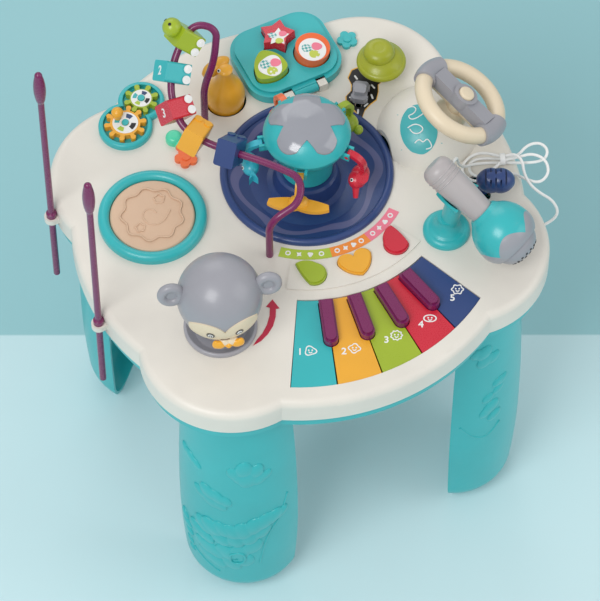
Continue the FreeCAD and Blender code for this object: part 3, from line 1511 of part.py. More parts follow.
def make_sorter_lid():
    """The hinged cover of the shape bin, hollow below, with a hole for each block."""
    length = size("lid_length")
    depth = size("lid_depth")
    height = size("lid_height")
    wall = size("lid_wall")
    low = TOP + 0.4
    body = rounded_block("lid_body", length, depth, low, low + height - 3, 24, LID)
    crown = rounded_block("lid_crown", length - 8, depth - 8, low + height - 4, low + height, 20, LID)
    hollow = rounded_block(
        "lid_hollow", length - 2 * wall, depth - 2 * wall, low - 1, low + height - wall - 2, 22, LID)
    solid = fuse("lid_solid", body, crown)
    knuckle = cylinder("lid_knuckle", 4, 22, (LID_HINGE[0] - 11, LID_HINGE[1], LID_HINGE[2]),
                       Rotation(Vector(0, 1, 0), 90))
    web = middle_box("lid_web", 22, 6, 6, (LID_HINGE[0], LID_HINGE[1] + 3, LID_HINGE[2] - 3))
    pin = cylinder("lid_pins", size("hinge_pin_radius"), 38,
                   (LID_HINGE[0] - 19, LID_HINGE[1], LID_HINGE[2]), Rotation(Vector(0, 1, 0), 90))
    holes = [
        block_solid(f"{name}_hole", name, size("block_gap"), 20) for name in SORTER_BLOCKS
    ]
    shell = cut("lid_shell", solid, hollow, *holes)
    relief = []
    for side in (-1, 1):
        relief.append(box(f"lid_relief_{side + 1}", 9.2, 9.6, 30,
                          (LID_HINGE[0] + side * 16 - 4.6, LID_HINGE[1] - 4, TOP - 5)))
    shell = cut("lid_relieved", shell, *relief)
    return fuse("sorter_lid", shell, knuckle, web, pin)


def block_axis(name):
    """The way a block leans in its hole."""
    lean = float(size("block_lean"))
    bearing = SORTER_BLOCKS[name][2]
    tilt = math.sin(math.radians(lean))
    return (
        tilt * math.cos(math.radians(bearing)),
        tilt * math.sin(math.radians(bearing)),
        math.cos(math.radians(lean)),
    )


def block_solid(label, name, grow, extra):
    """One block, or the hole that lets it through."""
    x, y, bearing = SORTER_BLOCKS[name]
    height = size("block_height") + extra
    low = -extra / 2.0
    # The lean lifts a block's low edge, so it stands just clear of the floor of the bin.
    if name == "block_round":
        solid = cylinder(f"{label}_shape", 15.5 + grow, height, (0, 0, low))
    elif name == "block_star":
        solid = plate(f"{label}_shape", star_outline(16 + grow), height, (0, 0, low))
    else:
        solid = plate(f"{label}_shape", leaf_outline(15.5 + grow), height, (0, 0, low))
    middle = (LID[0] + x, LID[1] + y, size("bin_floor") + 2)
    return held(label, solid, middle, axis_turn(block_axis(name)))


def make_keys():
    """Five wedge keys, notched round the sharps, and the bar of sharps."""
    names = ["key_1_teal", "key_2_amber", "key_3_lime", "key_4_red", "key_5_navy"]
    inner = size("keybed_inner_radius") + 0.6
    low = size("key_bottom")
    high = size("key_top")
    keys = []
    for number, name in enumerate(names):
        margin = Size(0.17, "0.17") * size("key_gap") / 0.6
        start = size("keybed_start") + number * size("key_angle") + margin
        wedge = ring_sector(f"{name}_wedge", CAROUSEL, inner, size("keybed_outer_radius") + 40,
                            start, size("key_angle") - 2 * margin, low, high)
        zone = cylinder(f"{name}_zone", size("keybed_outer_radius") - size("key_gap"), 30,
                        (0, 0, low - 5))
        wedge = common(f"{name}_blank", wedge, zone)
        notches = []
        for edge in (number, number + 1):
            if 0 < edge < 5:
                notches.append(sharp_solid(f"{name}_notch_{edge}", edge, size("key_gap"), low - 1,
                                           high + 2))
        pin_zone = key_pin(f"{name}_pin", number, size("hinge_pin_radius"), 0)
        body = cut(f"{name}_body", wedge, *notches)
        keys.append(fuse(name, body, pin_zone))
    sharps = []
    for edge in range(1, 5):
        tall = sharp_solid(f"sharp_{edge}", edge, 0, size("keybed_floor"), size("sharp_top") - 3)
        crown = sharp_solid(f"sharp_crown_{edge}", edge, -1.8, size("sharp_top") - 4,
                            size("sharp_top"))
        sharps.append(fuse(f"sharp_whole_{edge}", tall, crown))
    bar = ring_sector("sharp_bar", CAROUSEL, size("keybed_inner_radius") + 0.2,
                      size("keybed_inner_radius") + 9, size("keybed_start") + 0.3,
                      5 * size("key_angle") - 0.6, size("keybed_floor"), size("key_bottom") - 1.4)
    return keys, fuse("piano_sharps", bar, *sharps)


def key_pin(label, number, radius, extra):
    """A key's hinge pin: a short bar at its inner end, across the key."""
    middle = size("keybed_start") + (number + 0.5) * size("key_angle")
    radius_at = size("keybed_inner_radius") + 3
    place = polar(radius_at, middle, CAROUSEL)
    pin = box(f"{label}_bar", 4, 9, 3, (-2, -4.5, 0))
    return held(label, pin, (*place, size("key_bottom") - 0.6), flat_turn(middle))


def sharp_solid(label, edge, grow, low, high):
    """A sharp's form, a bar with a round tip, grown by a clearance."""
    angle = size("keybed_start") + edge * size("key_angle")
    half = size("sharp_width") / 2.0 + grow
    inner = size("sharp_inner_radius") - grow
    centre = size("sharp_outer_radius") - size("sharp_width") / 2.0
    bar = box(f"{label}_bar", centre - inner, 2 * half, high - low, (inner, -half, 0))
    tip = cylinder(f"{label}_tip", half, high - low, (centre, 0, 0))
    return put(fuse(label, bar, tip), (*CAROUSEL, low), flat_turn(angle))


def make_buttons():
    """Three press buttons with a hidden flange and a stem."""
    buttons = []
    for name, (step, outline, roll) in BUTTONS.items():
        angle, place = button_place(step)
        turn = flat_turn(float(angle) + 90 + roll)
        high = size("panel_rise") + size("button_rise")
        body = plate(f"{name}_body", outline(BUTTON_REACH), high + WALL - 1.4, (0, 0, -WALL))
        crown = plate(f"{name}_crown", outline(BUTTON_REACH - 1.4), 1.6, (0, 0, high - 1.5))
        flange = cylinder(f"{name}_flange", 12, 1.6, (0, 0, -WALL - 2 - 1.6))
        post = cylinder(f"{name}_post", 5, 2.4, (0, 0, -WALL - 2.2))
        whole = fuse(name, body, crown, post, flange)
        buttons.append(put(whole, (*place, TOP), turn))
    return buttons


def make_tree_lever():
    rise = size("tree_rise")
    shaft = cylinder("tree_shaft", 5, rise + 11, (0, 0, -9))
    keeper = cylinder("tree_keeper", 7, 2, (0, 0, -WALL - 4))
    radius = size("tree_radius")
    lower = turned("tree_lower", [
        (0, rise), (radius - 3, rise), (radius, rise + 2.5, (radius + 0.4, rise + 5)),
        (radius - 2, rise + 8, (12, rise + 13.5)), (5, rise + 15), (0, rise + 15.4),
    ])
    upper = bean("tree_upper", 14, 7, (-1, 3, rise + 15))
    tree = fuse("tree_lever", shaft, keeper, lower, upper)
    return put(tree, (*TREE, TOP))


def make_toy_car():
    body = rounded_block("toy_body", 20, 13, 1.2, 8, 3, (0, 0))
    cabin = rounded_block("toy_cabin", 10, 10.5, 7, 13, 2.5, (-1, 0))
    wheels = [
        cylinder(f"toy_axle_{end + 1}", 3.2, 15, (end * 6, 7.5, 4.2), Rotation(Vector(1, 0, 0), 90))
        for end in (-1, 1)
    ]
    stem = middle_box("toy_stem", 4, 4, WALL + 4, (0, 0, -WALL - 2))
    keeper = middle_box("toy_keeper", 8, 9, 1.6, (0, 0, -WALL - 2.4))
    car = fuse("toy_car", body, cabin, *wheels, stem, keeper)
    return put(car, (*TOY_CAR, TOP), flat_turn(size("road_line")))


def make_duck_lever():
    """A pear-shaped lever with a broad bill, rocking on two pins under the top."""
    radius = size("duck_radius")
    height = size("duck_height")
    low = -size("lever_pivot_depth")
    body = turned("duck_body", [
        (0, low + 4), (radius - 3, low + 4), (radius - 0.6, low + 7),
        (radius, 4, (radius - 0.2, 15)), (radius - 4.5, 25, (8, 34.5)), (7, height, (5, height + 1.9)),
        (2.5, height + 2.9), (0, height + 3.2),
    ])
    bill = bean("duck_bill", 6, 14, (-5, 8, height - 3), axis_turn((1, 0.2, 0.1)))
    pins = cylinder("duck_pins", size("hinge_pin_radius"), 45, (-22.5, 0, low),
                    Rotation(Vector(0, 1, 0), 90))
    hub = middle_box("duck_hub", 27, 8, 8, (0, 0, low - 2.6))
    duck = fuse("duck_lever", body, bill, pins, hub)
    return put(duck, (*DUCK, TOP))


def make_shift_lever():
    length = size("shift_length")
    low = -size("lever_pivot_depth")
    lean = (0.22, -0.36, 0.9)
    stem = cylinder("shift_stem", 4, length, (0, 0, low), axis_turn(lean))
    knob_at = tuple(part * float(length) * 1.02 for part in lean)
    middle = (knob_at[0], knob_at[1], knob_at[2] + float(low))
    knob_turn = Rotation(Vector(0, 0, 1), -26) * Rotation(Vector(1, 0, 0), 12)
    knob = bean("shift_knob", 10.5, 16.5, middle, knob_turn * axis_turn((1, 0, 0)))
    grooves = []
    for step in (-2, -1, 0, 1, 2):
        groove = middle_box(f"shift_groove_{step + 2}", 1.4, 20, 4, (step * 4.4, 0, 6.4))
        grooves.append(held(f"shift_groove_turned_{step + 2}", groove, middle, knob_turn))
    pins = cylinder("shift_pins", size("hinge_pin_radius"), 24, (-12, 0, low),
                    Rotation(Vector(0, 1, 0), 90))
    hub = middle_box("shift_hub", 9, 9, 9, (0, 0, low - 4.5))
    lever = cut("shift_lever", fuse("shift_whole", stem, knob, pins, hub), *grooves)
    return put(lever, (*SHIFT, TOP))


def make_mic_stand():
    """A round foot, a flared neck and a cradle under the microphone's handle."""
    along = Vector(*MIC_DIRECTION)
    seat = Vector(*map(float, MIC)) + along * 23
    foot = Vector(float(MIC_STAND[0]), float(MIC_STAND[1]), float(TOP) + 4)
    lean = (seat - foot)
    base = turned("mic_foot", [
        (0, 0), (size("mic_base_radius"), 0),
        (size("mic_base_radius"), 3, (size("mic_base_radius") - 1.6, 5.6)),
        (size("mic_base_radius") - 5, 7), (13, 8.5, (9.5, 14)), (8.5, 22), (0, 22),
    ], (*MIC_STAND, TOP))
    neck = cylinder("mic_neck_post", 8, lean.Length - 12, tuple(foot), axis_turn(tuple(lean)))
    cradle = cylinder("mic_cradle", size("mic_tail_radius") + 3, 22, tuple(seat - along * 11),
                      axis_turn(tuple(along)))
    bore = cylinder("mic_cradle_bore", size("mic_tail_radius") + GAP, 60, tuple(seat - along * 30),
                    axis_turn(tuple(along)))
    mouth = middle_box("mic_cradle_mouth", 60, 60, 50, (seat.x, seat.y, seat.z - 6))
    return cut("mic_stand", fuse("mic_stand_whole", base, neck, cradle), bore, mouth)


def make_mic():
    """Handle, head and grille, all about one leaning axis."""
    turn = MIC_TURN
    tail = size("mic_tail_radius")
    neck = size("mic_neck_radius")
    length = size("mic_handle_length")
    head = size("mic_head_radius")
    reach = size("mic_head_length")
    grip = turned("mic_grip", [
        (0, -9), (tail - 5, -9, (tail - 1.5, -6)), (tail, 0), (tail - 0.6, 20),
        (neck, length), (neck - 4, length), (neck - 4, length + 6), (0, length + 6),
    ])
    boss = cylinder("cord_boss", size("boss_radius"), tail + size("boss_length") - 6,
                    tuple(CORD_EXIT - CORD_OUTWARD * float(tail + size("boss_length") - 6)),
                    axis_turn(tuple(CORD_OUTWARD)))
    put(grip, MIC, turn)
    handle = fuse("mic_handle", grip, boss)
    shell = turned("mic_head", [
        (neck - 4 + 0.05, length + 0.05), (neck + 2, length + 0.05),
        (neck + 5, length + 4, (head - 4, length + 12)),
        (head, length + 26, (head - 1, length + reach - 6)),
        (head - 5, length + reach), (size("grille_radius") + 0.1, length + reach),
        (size("grille_radius") + 0.1, length + reach - 5), (neck - 4 + 0.05, length + reach - 5),
    ])
    put(shell, MIC, turn)
    grille_low = length + reach - 4.9
    radius = size("grille_radius")
    dome = turned("grille_dome", [
        (0, grille_low), (radius, grille_low), (radius, grille_low + 5, (radius * 0.74, grille_low + 13)),
        (4, grille_low + 16.6),
        (0, grille_low + 17),
    ])
    holes = []
    for count, ring in ((1, 0), (6, 6), (10, 12)):
        for step in range(count):
            place = polar(ring, step * 360.0 / count + ring)
            holes.append(cylinder(f"grille_hole_{ring}_{step}", 0.9, 14,
                                  (*place, grille_low + 8)))
    grille = cut("mic_grille", dome, *holes)
    put(grille, MIC, turn)
    return handle, shell, grille


def least_gap(wires, diameter):
    """The least gap between two strands, measured on points one millimetre apart."""
    points = []
    for wire in wires:
        points += wire.discretize(Distance=1.0)
    least = math.inf
    apart = int(6 * diameter)
    for number, first in enumerate(points):
        for second in points[number + apart:]:
            least = min(least, first.distanceToPoint(second))
    return least - diameter


def make_cord():
    """The cord from the handle's boss to the loops, the loops, and on into the table's side."""
    diameter = float(size("cord_diameter"))
    lead = [CORD_EXIT, CORD_EXIT + CORD_OUTWARD * CORD_RUN] + lifted(CORD_LEAD)
    loops = lifted(CORD_LOOPS)
    tail = lifted(CORD_TAIL)
    start = (lead[-1] + loops[0]) / 2
    end = (loops[-1] + tail[0]) / 2
    lead_tube, lead_wire = route_tube("cord_lead", [*lead, start], diameter / 2)
    hank_tube, hank_wire = route_tube("cord_loops", [start, *loops, end], diameter / 2)
    tail_tube, tail_wire = route_tube("cord_tail", [end, *tail], diameter / 2)
    gap = least_gap([lead_wire, hank_wire, tail_wire], diameter)
    print(f"cord: least gap between strands {gap:.2f}")
    runs = feature("mic_cord_runs", Part.makeCompound([lead_tube, tail_tube]))
    hank = feature("mic_cord_hank", hank_tube)
    return runs, hank


def build():
    drum_ring, drum_pad = make_drum()
    crank, driven = make_play_gears()
    keys, sharps = make_keys()
    nodes = [
        make_top_shell(), make_bottom_shell(), make_battery_cover(), make_circuit_board(),
        make_carousel_dish(), make_carousel_dome(), feature_lens(), make_monkey_bowl(),
        make_monkey_head(), make_monkey_face(), make_idler_gear(), drum_ring, drum_pad,
        make_bead_rail(), make_gear_tray(), crank, driven, make_badges(), sharps,
        make_steering_wheel(), make_wheel_grips(), make_horn_button(), make_sorter_lid(),
        make_tree_lever(), make_toy_car(), make_duck_lever(), make_shift_lever(),
        make_mic_stand(),
    ]
    nodes += make_figures()
    nodes += [make_leg(name, sx, sy) for name, (sx, sy) in LEGS.items()]
    nodes += [make_mallet(name) for name in LUGS]
    nodes += [make_car(name, run) for name, run in CARS.items()]
    nodes += [block_solid(name, name, 0, 0) for name in SORTER_BLOCKS]
    nodes += keys
    nodes += make_buttons()
    nodes += list(make_mic())
    nodes += list(make_cord())
    return nodes


def feature_lens():
    return lens_solid("carousel_lens", 0)


def failed(thing):
    return "Invalid" in thing.State or "Error" in thing.State


def main():
    nodes = build()
    doc.recompute()
    faults = [thing.Label for thing in doc.Objects if failed(thing)]
    for node in nodes:
        shape = node.Shape
        if shape.isNull() or not shape.isValid() or not shape.Solids:
            faults.append(f"{node.Label} shape")
    if faults:
        raise RuntimeError(f"failed objects: {faults}")
    os.makedirs("parts", exist_ok=True)
    for node in nodes:
        shape = node.Shape.copy()
        shape.translate(Vector(float(ORIGIN_SHIFT), 0, 0))
        shape.exportStep(f"parts/{node.Label}.step")
    print(len(nodes), "nodes written")


main()
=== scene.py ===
import json
import math

import bpy
from mathutils import Matrix, Vector


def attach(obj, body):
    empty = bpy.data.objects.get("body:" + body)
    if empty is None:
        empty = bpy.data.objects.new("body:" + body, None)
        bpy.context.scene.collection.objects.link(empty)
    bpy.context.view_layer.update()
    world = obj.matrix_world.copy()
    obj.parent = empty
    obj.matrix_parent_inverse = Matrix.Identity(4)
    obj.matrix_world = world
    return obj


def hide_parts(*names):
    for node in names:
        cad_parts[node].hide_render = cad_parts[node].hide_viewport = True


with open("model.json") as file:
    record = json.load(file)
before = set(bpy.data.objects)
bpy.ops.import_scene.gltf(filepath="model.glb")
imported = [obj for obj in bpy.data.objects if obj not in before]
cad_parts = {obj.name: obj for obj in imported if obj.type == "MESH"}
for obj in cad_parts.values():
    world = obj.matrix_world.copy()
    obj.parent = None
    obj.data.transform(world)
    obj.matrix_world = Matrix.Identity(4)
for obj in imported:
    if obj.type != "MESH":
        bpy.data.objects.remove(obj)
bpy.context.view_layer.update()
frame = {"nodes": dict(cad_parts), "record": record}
NODES = frame["nodes"]

# The table's middle stands a little off the origin, because a mallet hangs at its left.
OFF = 4.9
TOP = 340.0


def mm(x, y, z):
    """A place in the table's own millimetres, as a point in metres."""
    return Vector(((x + OFF) / 1000, y / 1000, z / 1000))


CAROUSEL = (23, 30)

# ---- Camera ----------------------------------------------------------------

SIDEWAYS = Vector((0.8988, -0.4384, 0))
UPWARD = Vector((0.3651, 0.7486, 0.5534))
BACKWARD = Vector((-0.2426, -0.4974, 0.8329))
LENS = 240.0
SENSOR = 36.0
FRAME_WIDTH, FRAME_HEIGHT = 600, 601

CAMERA_REACH = 3.478
TARGET_BELOW, TARGET_ASIDE = 0.0796, 0.0015

eye = mm(0, 0, TOP) + BACKWARD * CAMERA_REACH
target = mm(0, 0, TOP) - UPWARD * TARGET_BELOW + SIDEWAYS * TARGET_ASIDE
camera_data = bpy.data.cameras.new("camera")
camera_data.lens = LENS
camera_data.sensor_width = SENSOR
camera = bpy.data.objects.new("camera", camera_data)
bpy.context.scene.collection.objects.link(camera)
camera.location = eye
camera.rotation_mode = "QUATERNION"
camera.rotation_quaternion = (target - eye).to_track_quat("-Z", "Y")
bpy.context.scene.camera = camera
LOOK = camera.rotation_quaternion.to_matrix()


def view_ray(across, down):
    """The direction of the view through a place in the 600 by 601 frame."""
    step = SENSOR / FRAME_HEIGHT / LENS
    ray = LOOK @ Vector((
        (across - FRAME_WIDTH / 2) * step, (FRAME_HEIGHT / 2 - down) * step, -1))
    return ray.normalized()


def on_level(across, down, level=0.0):
    """Where the view through a place in the frame meets a level in metres."""
    ray = view_ray(across, down)
    return eye + ray * ((level - eye.z) / ray.z)


def drawn(places, level=TOP):
    """Places in the frame as an outline on a level, all in the table's millimetres."""
    outline = []
    for across, down in places:
        point = on_level(across, down, level / 1000)
        outline.append((point.x * 1000 - OFF, point.y * 1000))
    return outline


# The floor's two tones meet on a line across the view.
AWAY = Vector((UPWARD.x, UPWARD.y, 0)).normalized()
FLOOR_LINE = on_level(300, 335)

# The thickness of a thin printed piece, in metres.
THIN_PRINT = 0.0003


def seen(node, across, down):
    """Where the view through a place in the 600 by 601 frame meets a node, and its normal."""
    found, place, normal, _ = NODES[node].ray_cast(eye, view_ray(across, down))
    if not found:
        raise ValueError(f"{node} isn't at {across}, {down}")
    return place, normal


def upright(place, normal, heading=None, turn=0.0):
    """A matrix that stands a flat piece on a surface, its top towards heading."""
    normal = normal.normalized()
    heading = LOOK @ Vector((0, 1, 0)) if heading is None else heading
    heading = (heading - normal * heading.dot(normal)).normalized()
    across = heading.cross(normal)
    stand = Matrix((across, heading, normal)).transposed().to_4x4()
    return Matrix.Translation(place) @ stand @ Matrix.Rotation(math.radians(turn), 4, "Z")


# ---- Materials -------------------------------------------------------------

def colour(red, green, blue):
    """A colour in steps of 0 to 255, as the linear values that a shader takes."""
    steps = []
    for step in (red, green, blue):
        share = step / 255
        steps.append(share / 12.92 if share <= 0.04045 else ((share + 0.055) / 1.055) ** 2.4)
    return (*steps, 1.0)


class Field:
    """A socket of a material. Sums on it are written as Python and add Math nodes."""

    def __init__(self, finish, socket):
        self.finish = finish
        self.socket = socket

    def maths(self, operation, *values):
        return self.finish.node(
            "ShaderNodeMath", {"operation": operation}, dict(enumerate(values)))

    def __add__(self, other):
        return self.maths("ADD", self, other)

    def __radd__(self, other):
        return self.maths("ADD", other, self)

    def __sub__(self, other):
        return self.maths("SUBTRACT", self, other)

    def __rsub__(self, other):
        return self.maths("SUBTRACT", other, self)

    def __mul__(self, other):
        return self.maths("MULTIPLY", self, other)

    def __rmul__(self, other):
        return self.maths("MULTIPLY", other, self)

    def __truediv__(self, other):
        return self.maths("DIVIDE", self, other)

    def step(self, low, high):
        """Rises from 0 at low to 1 at high."""
        return self.finish.node("ShaderNodeMapRange", {"clamp": True}, {
            "Value": self, "From Min": low, "From Max": high, "To Min": 0.0, "To Max": 1.0})


class Finish:
    """A material, its shader and what varies over its surface."""

    def __init__(self, name):
        self.material = bpy.data.materials.new(name)
        self.material.use_nodes = True
        self.tree = self.material.node_tree
        self.shader = self.tree.nodes["Principled BSDF"]
        self.place = self.node("ShaderNodeTexCoord", {}, {}, "Object")

    def node(self, kind, settings, sockets, output=0):
        """Any node: its settings first, then the values or links of its sockets."""
        node = self.tree.nodes.new(kind)
        for name, value in settings.items():
            if name == "stops":
                ramp = node.color_ramp
                while len(ramp.elements) < len(value):
                    ramp.elements.new(0.5)
                for stop, (position, shade) in zip(ramp.elements, value):
                    stop.position = position
                    stop.color = shade
            else:
                setattr(node, name, value)
        for name, value in sockets.items():
            if isinstance(value, Field):
                self.tree.links.new(value.socket, node.inputs[name])
            else:
                node.inputs[name].default_value = value
        return Field(self, node.outputs[output])

    def noise(self, scale, detail=2.0, roughness=0.5):
        return self.node("ShaderNodeTexNoise", {}, {
            "Vector": self.place, "Scale": scale, "Detail": detail, "Roughness": roughness})

    def mix(self, share, first, second):
        """One colour turning into another."""
        return self.node(
            "ShaderNodeMix", {"data_type": "RGBA"}, {0: share, 6: first, 7: second}, 2)

    def axes(self, middle=(0, 0, 0)):
        """The three coordinates in millimetres from a middle in table millimetres."""
        parts = []
        for axis, offset in zip("XYZ", (middle[0] + OFF, middle[1], middle[2])):
            part = self.node("ShaderNodeSeparateXYZ", {}, {0: self.place}, axis)
            parts.append(part * 1000.0 - float(offset))
        return parts

    def bump(self, height, strength, distance):
        return self.node("ShaderNodeBump", {}, {
            "Height": height, "Strength": strength, "Distance": distance}, "Normal")

    def shade(self, **sockets):
        for name, value in sockets.items():
            socket = self.shader.inputs[name.replace("_", " ")]
            if isinstance(value, Field):
                self.tree.links.new(value.socket, socket)
            else:
                socket.default_value = value
        return self.material


def tinted(shade, share):
    """A colour made darker or lighter."""
    return (*(min(1.0, part * share) for part in shade[:3]), 1.0)


def moulded(name, shade, gloss=0.36, coat=0.0, grain=0.10, pattern=None):
    """Injection-moulded plastic: a faint cloud in its colour, fine grain and light scuffs."""
    finish = Finish(name)
    cloud = finish.noise(16.0, 3.0)
    speck = finish.noise(950.0, 2.0, 0.6)
    scuff = finish.noise(95.0, 5.0, 0.72).step(0.60, 0.80)
    base = finish.mix(cloud.step(0.25, 0.75), tinted(shade, 0.93), tinted(shade, 1.05))
    base = finish.mix(scuff * 0.10, base, tinted(shade, 1.25))
    if pattern:
        base = pattern(finish, base)
    base = finish.mix(speck.step(0.35, 0.75) * 0.06, base, tinted(shade, 0.7))
    rough = gloss + scuff * 0.14 + (speck - 0.5) * 0.10 + (cloud - 0.5) * 0.08
    relief = speck + finish.noise(130.0, 2.0) * 1.5
    return finish.shade(
        Base_Color=base, Roughness=rough, Coat_Weight=coat, Coat_Roughness=0.12,
        Normal=finish.bump(relief, grain, 0.00025))


CREAM = colour(226, 221, 211)
TEAL = colour(50, 180, 184)
NAVY = colour(44, 68, 122)
PLUM = colour(118, 28, 86)
SKIN = colour(216, 184, 156)
GREY = colour(156, 156, 163)
AMBER = colour(238, 172, 48)
LIME = colour(160, 182, 42)
LEAF_GREEN = colour(158, 164, 36)
RED = colour(206, 34, 56)
BEIGE = colour(228, 212, 184)
ORANGE = colour(240, 108, 52)
MINT = colour(84, 214, 172)
CYAN = colour(60, 186, 206)
WHITE = colour(238, 238, 236)
BLACK = colour(24, 22, 24)
VIOLET = colour(112, 112, 152)
PINK = colour(240, 128, 150)


def wavy_ring(finish, base):
    """Grey-violet waves on the floor of the carousel's dish."""
    x, y, z = finish.axes((*CAROUSEL, 0))
    reach = (x * x + y * y).maths("SQRT", x * x + y * y)
    bearing = x.maths("ARCTAN2", y, x)
    wave = (bearing * 6.0 + reach * 0.10).maths("SINE", bearing * 6.0 + reach * 0.10)
    swell = reach + wave * 3.2
    band = swell.step(57.0, 57.6) * (1.0 - swell.step(63.5, 64.1))
    return finish.mix(band * 0.75, base, VIOLET)


def checks(pale, size, turn):
    """A printed pattern of small crossed squares."""
    def pattern(finish, base):
        x, y, z = finish.axes()
        lean = math.radians(turn)
        along = x * math.cos(lean) + y * math.sin(lean)
        across = y * math.cos(lean) - x * math.sin(lean)
        first = (along / size).maths("FRACT", along / size).step(0.42, 0.5)
        second = (across / size).maths("FRACT", across / size).step(0.42, 0.5)
        squares = first + second - first * second * 2.0
        return finish.mix(squares * 0.85, base, pale)
    return pattern


def dotted(pale, size):
    """A printed pattern of small dots."""
    def pattern(finish, base):
        dots = finish.node("ShaderNodeTexVoronoi", {"feature": "F1"}, {
            "Vector": finish.place, "Scale": 1000.0 / size, "Randomness": 0.25})
        return finish.mix((1.0 - dots.step(0.26, 0.32)) * 0.9, base, pale)
    return pattern


# The microphone's axis, and two directions across it.
MIC = (103, -63, 414)
MIC_DIP, MIC_LINE = math.radians(28.5), math.radians(-60.5)
MIC_AXIS = Vector((
    math.cos(MIC_DIP) * math.cos(MIC_LINE), math.cos(MIC_DIP) * math.sin(MIC_LINE),
    -math.sin(MIC_DIP)))
MIC_SIDE = Vector((-math.sin(MIC_LINE), math.cos(MIC_LINE), 0))
MIC_RISE = MIC_AXIS.cross(MIC_SIDE)


def scalloped(finish, base):
    """The grey of the grille comes over the front of the head in scallops."""
    x, y, z = finish.axes(MIC)
    reach, side, rise = (
        x * way.x + y * way.y + z * way.z for way in (MIC_AXIS, MIC_SIDE, MIC_RISE))
    bearing = side.maths("ARCTAN2", side, rise)
    wave = (bearing * 2.5).maths("SINE", bearing * 2.5)
    edge = 86.0 - wave.maths("ABSOLUTE", wave) * 11.0
    return finish.mix((reach - edge).step(-0.2, 0.2), base, GREY)


def badge_colours(finish, base):
    """The flower by the drum is orange and the one by the tree is teal."""
    for middle, shade in (((-65, 90, 0), ORANGE), ((118, 142, 0), TEAL)):
        x, y, z = finish.axes(middle)
        far = x * x + y * y
        base = finish.mix(far.step(190.0, 196.0), shade, base)
    return base


FINISHES = {
    "cream": moulded("cream_plastic", CREAM, 0.38),
    "teal": moulded("teal_plastic", TEAL, 0.33, 0.15),
    "navy": moulded("navy_plastic", NAVY, 0.32, 0.15),
    "plum": moulded("plum_plastic", PLUM, 0.28, 0.25),
    "skin": moulded("drum_skin", SKIN, 0.5, 0.0, 0.2),
    "grey": moulded("grey_plastic", GREY, 0.34, 0.12),
    "amber": moulded("amber_plastic", AMBER, 0.3, 0.2),
    "lime": moulded("lime_plastic", LIME, 0.3, 0.2),
    "tree_green": moulded("leaf_green_plastic", LEAF_GREEN, 0.34, 0.2),
    "red": moulded("red_plastic", RED, 0.28, 0.25),
    "beige": moulded("beige_plastic", BEIGE, 0.38),
    "orange": moulded("orange_plastic", ORANGE, 0.3, 0.2),
    "lens": moulded("grey_lens", colour(150, 152, 160), 0.14, 0.7),
    "white_cord": moulded("white_cord", WHITE, 0.46, 0.0, 0.3),
    "cyan": moulded("cyan_plastic", CYAN, 0.3, 0.2),
    "green_board": moulded("circuit_board", colour(30, 96, 62), 0.45),
    "mint": moulded("mint_plastic", MINT, 0.3, 0.2),
    "dish": moulded("navy_dish", NAVY, 0.32, 0.15, 0.1, wavy_ring),
    "badges": moulded("badge_plastic", MINT, 0.3, 0.2, 0.1, badge_colours),
    "mic_head": moulded("mic_head_plastic", TEAL, 0.3, 0.2, 0.1, scalloped),
    "handle_grey": moulded("handle_grey_plastic", colour(178, 172, 172), 0.36, 0.1),
    "check_print": moulded(
        "check_print", colour(84, 170, 168), 0.36, 0.1, 0.04, checks(WHITE, 4.4, 35)),
    "dot_print": moulded(
        "dot_print", colour(196, 206, 84), 0.36, 0.1, 0.04, dotted(WHITE, 4.0)),
    "amber_print": moulded("amber_print", colour(242, 184, 74), 0.36, 0.1, 0.04),
    "navy_print": moulded("navy_print", colour(40, 66, 110), 0.36, 0.1, 0.04),
    "white_print": moulded("white_print", WHITE, 0.42, 0.0, 0.04),
    "black_print": moulded("black_print", BLACK, 0.42, 0.0, 0.04),
    "crimson_print": moulded("crimson_print", colour(188, 24, 62), 0.42, 0.0, 0.04),
    "lime_print": moulded("lime_print", colour(176, 200, 70), 0.42, 0.0, 0.04),
    "orange_print": moulded("orange_print", colour(244, 146, 62), 0.42, 0.0, 0.04),
    "pink_print": moulded("pink_print", PINK, 0.42, 0.0, 0.04),
    "teal_print": moulded("teal_print", colour(70, 176, 180), 0.36, 0.1, 0.04),
    "eye_black": moulded("eye_black", BLACK, 0.12, 0.6, 0.02),
    "brown_print": moulded("brown_print", colour(96, 62, 50), 0.4, 0.0, 0.04),
    "steel": moulded("screw_steel", colour(150, 150, 155), 0.3),
}
# Nodes whose finish isn't the plain one of their slot.
SPECIAL = {
    "carousel_dish": "dish", "toy_car": "grey", "driven_gear": "lime", "flower_badges": "badges",
    "mic_head": "mic_head", "mic_handle": "handle_grey",
}


def dress(piece, finish):
    """Gives a piece one finish."""
    piece.data.materials.clear()
    piece.data.materials.append(FINISHES[finish])


def soften(piece, angle=32):
    """Smooth shading that keeps the sharp edges."""
    bpy.ops.object.select_all(action="DESELECT")
    piece.select_set(True)
    bpy.context.view_layer.objects.active = piece
    bpy.ops.object.shade_smooth_by_angle(angle=math.radians(angle))


for part in frame["record"]["subparts"]:
    name = part["node"]
    dress(NODES[name], SPECIAL.get(name, part["material_slot"]))

# ---- Making pieces ---------------------------------------------------------

def active():
    return bpy.context.view_layer.objects.active


def clear():
    """Leaves edit mode and deselects everything."""
    if active() and active().mode != "OBJECT":
        bpy.ops.object.mode_set(mode="OBJECT")
    bpy.ops.object.select_all(action="DESELECT")


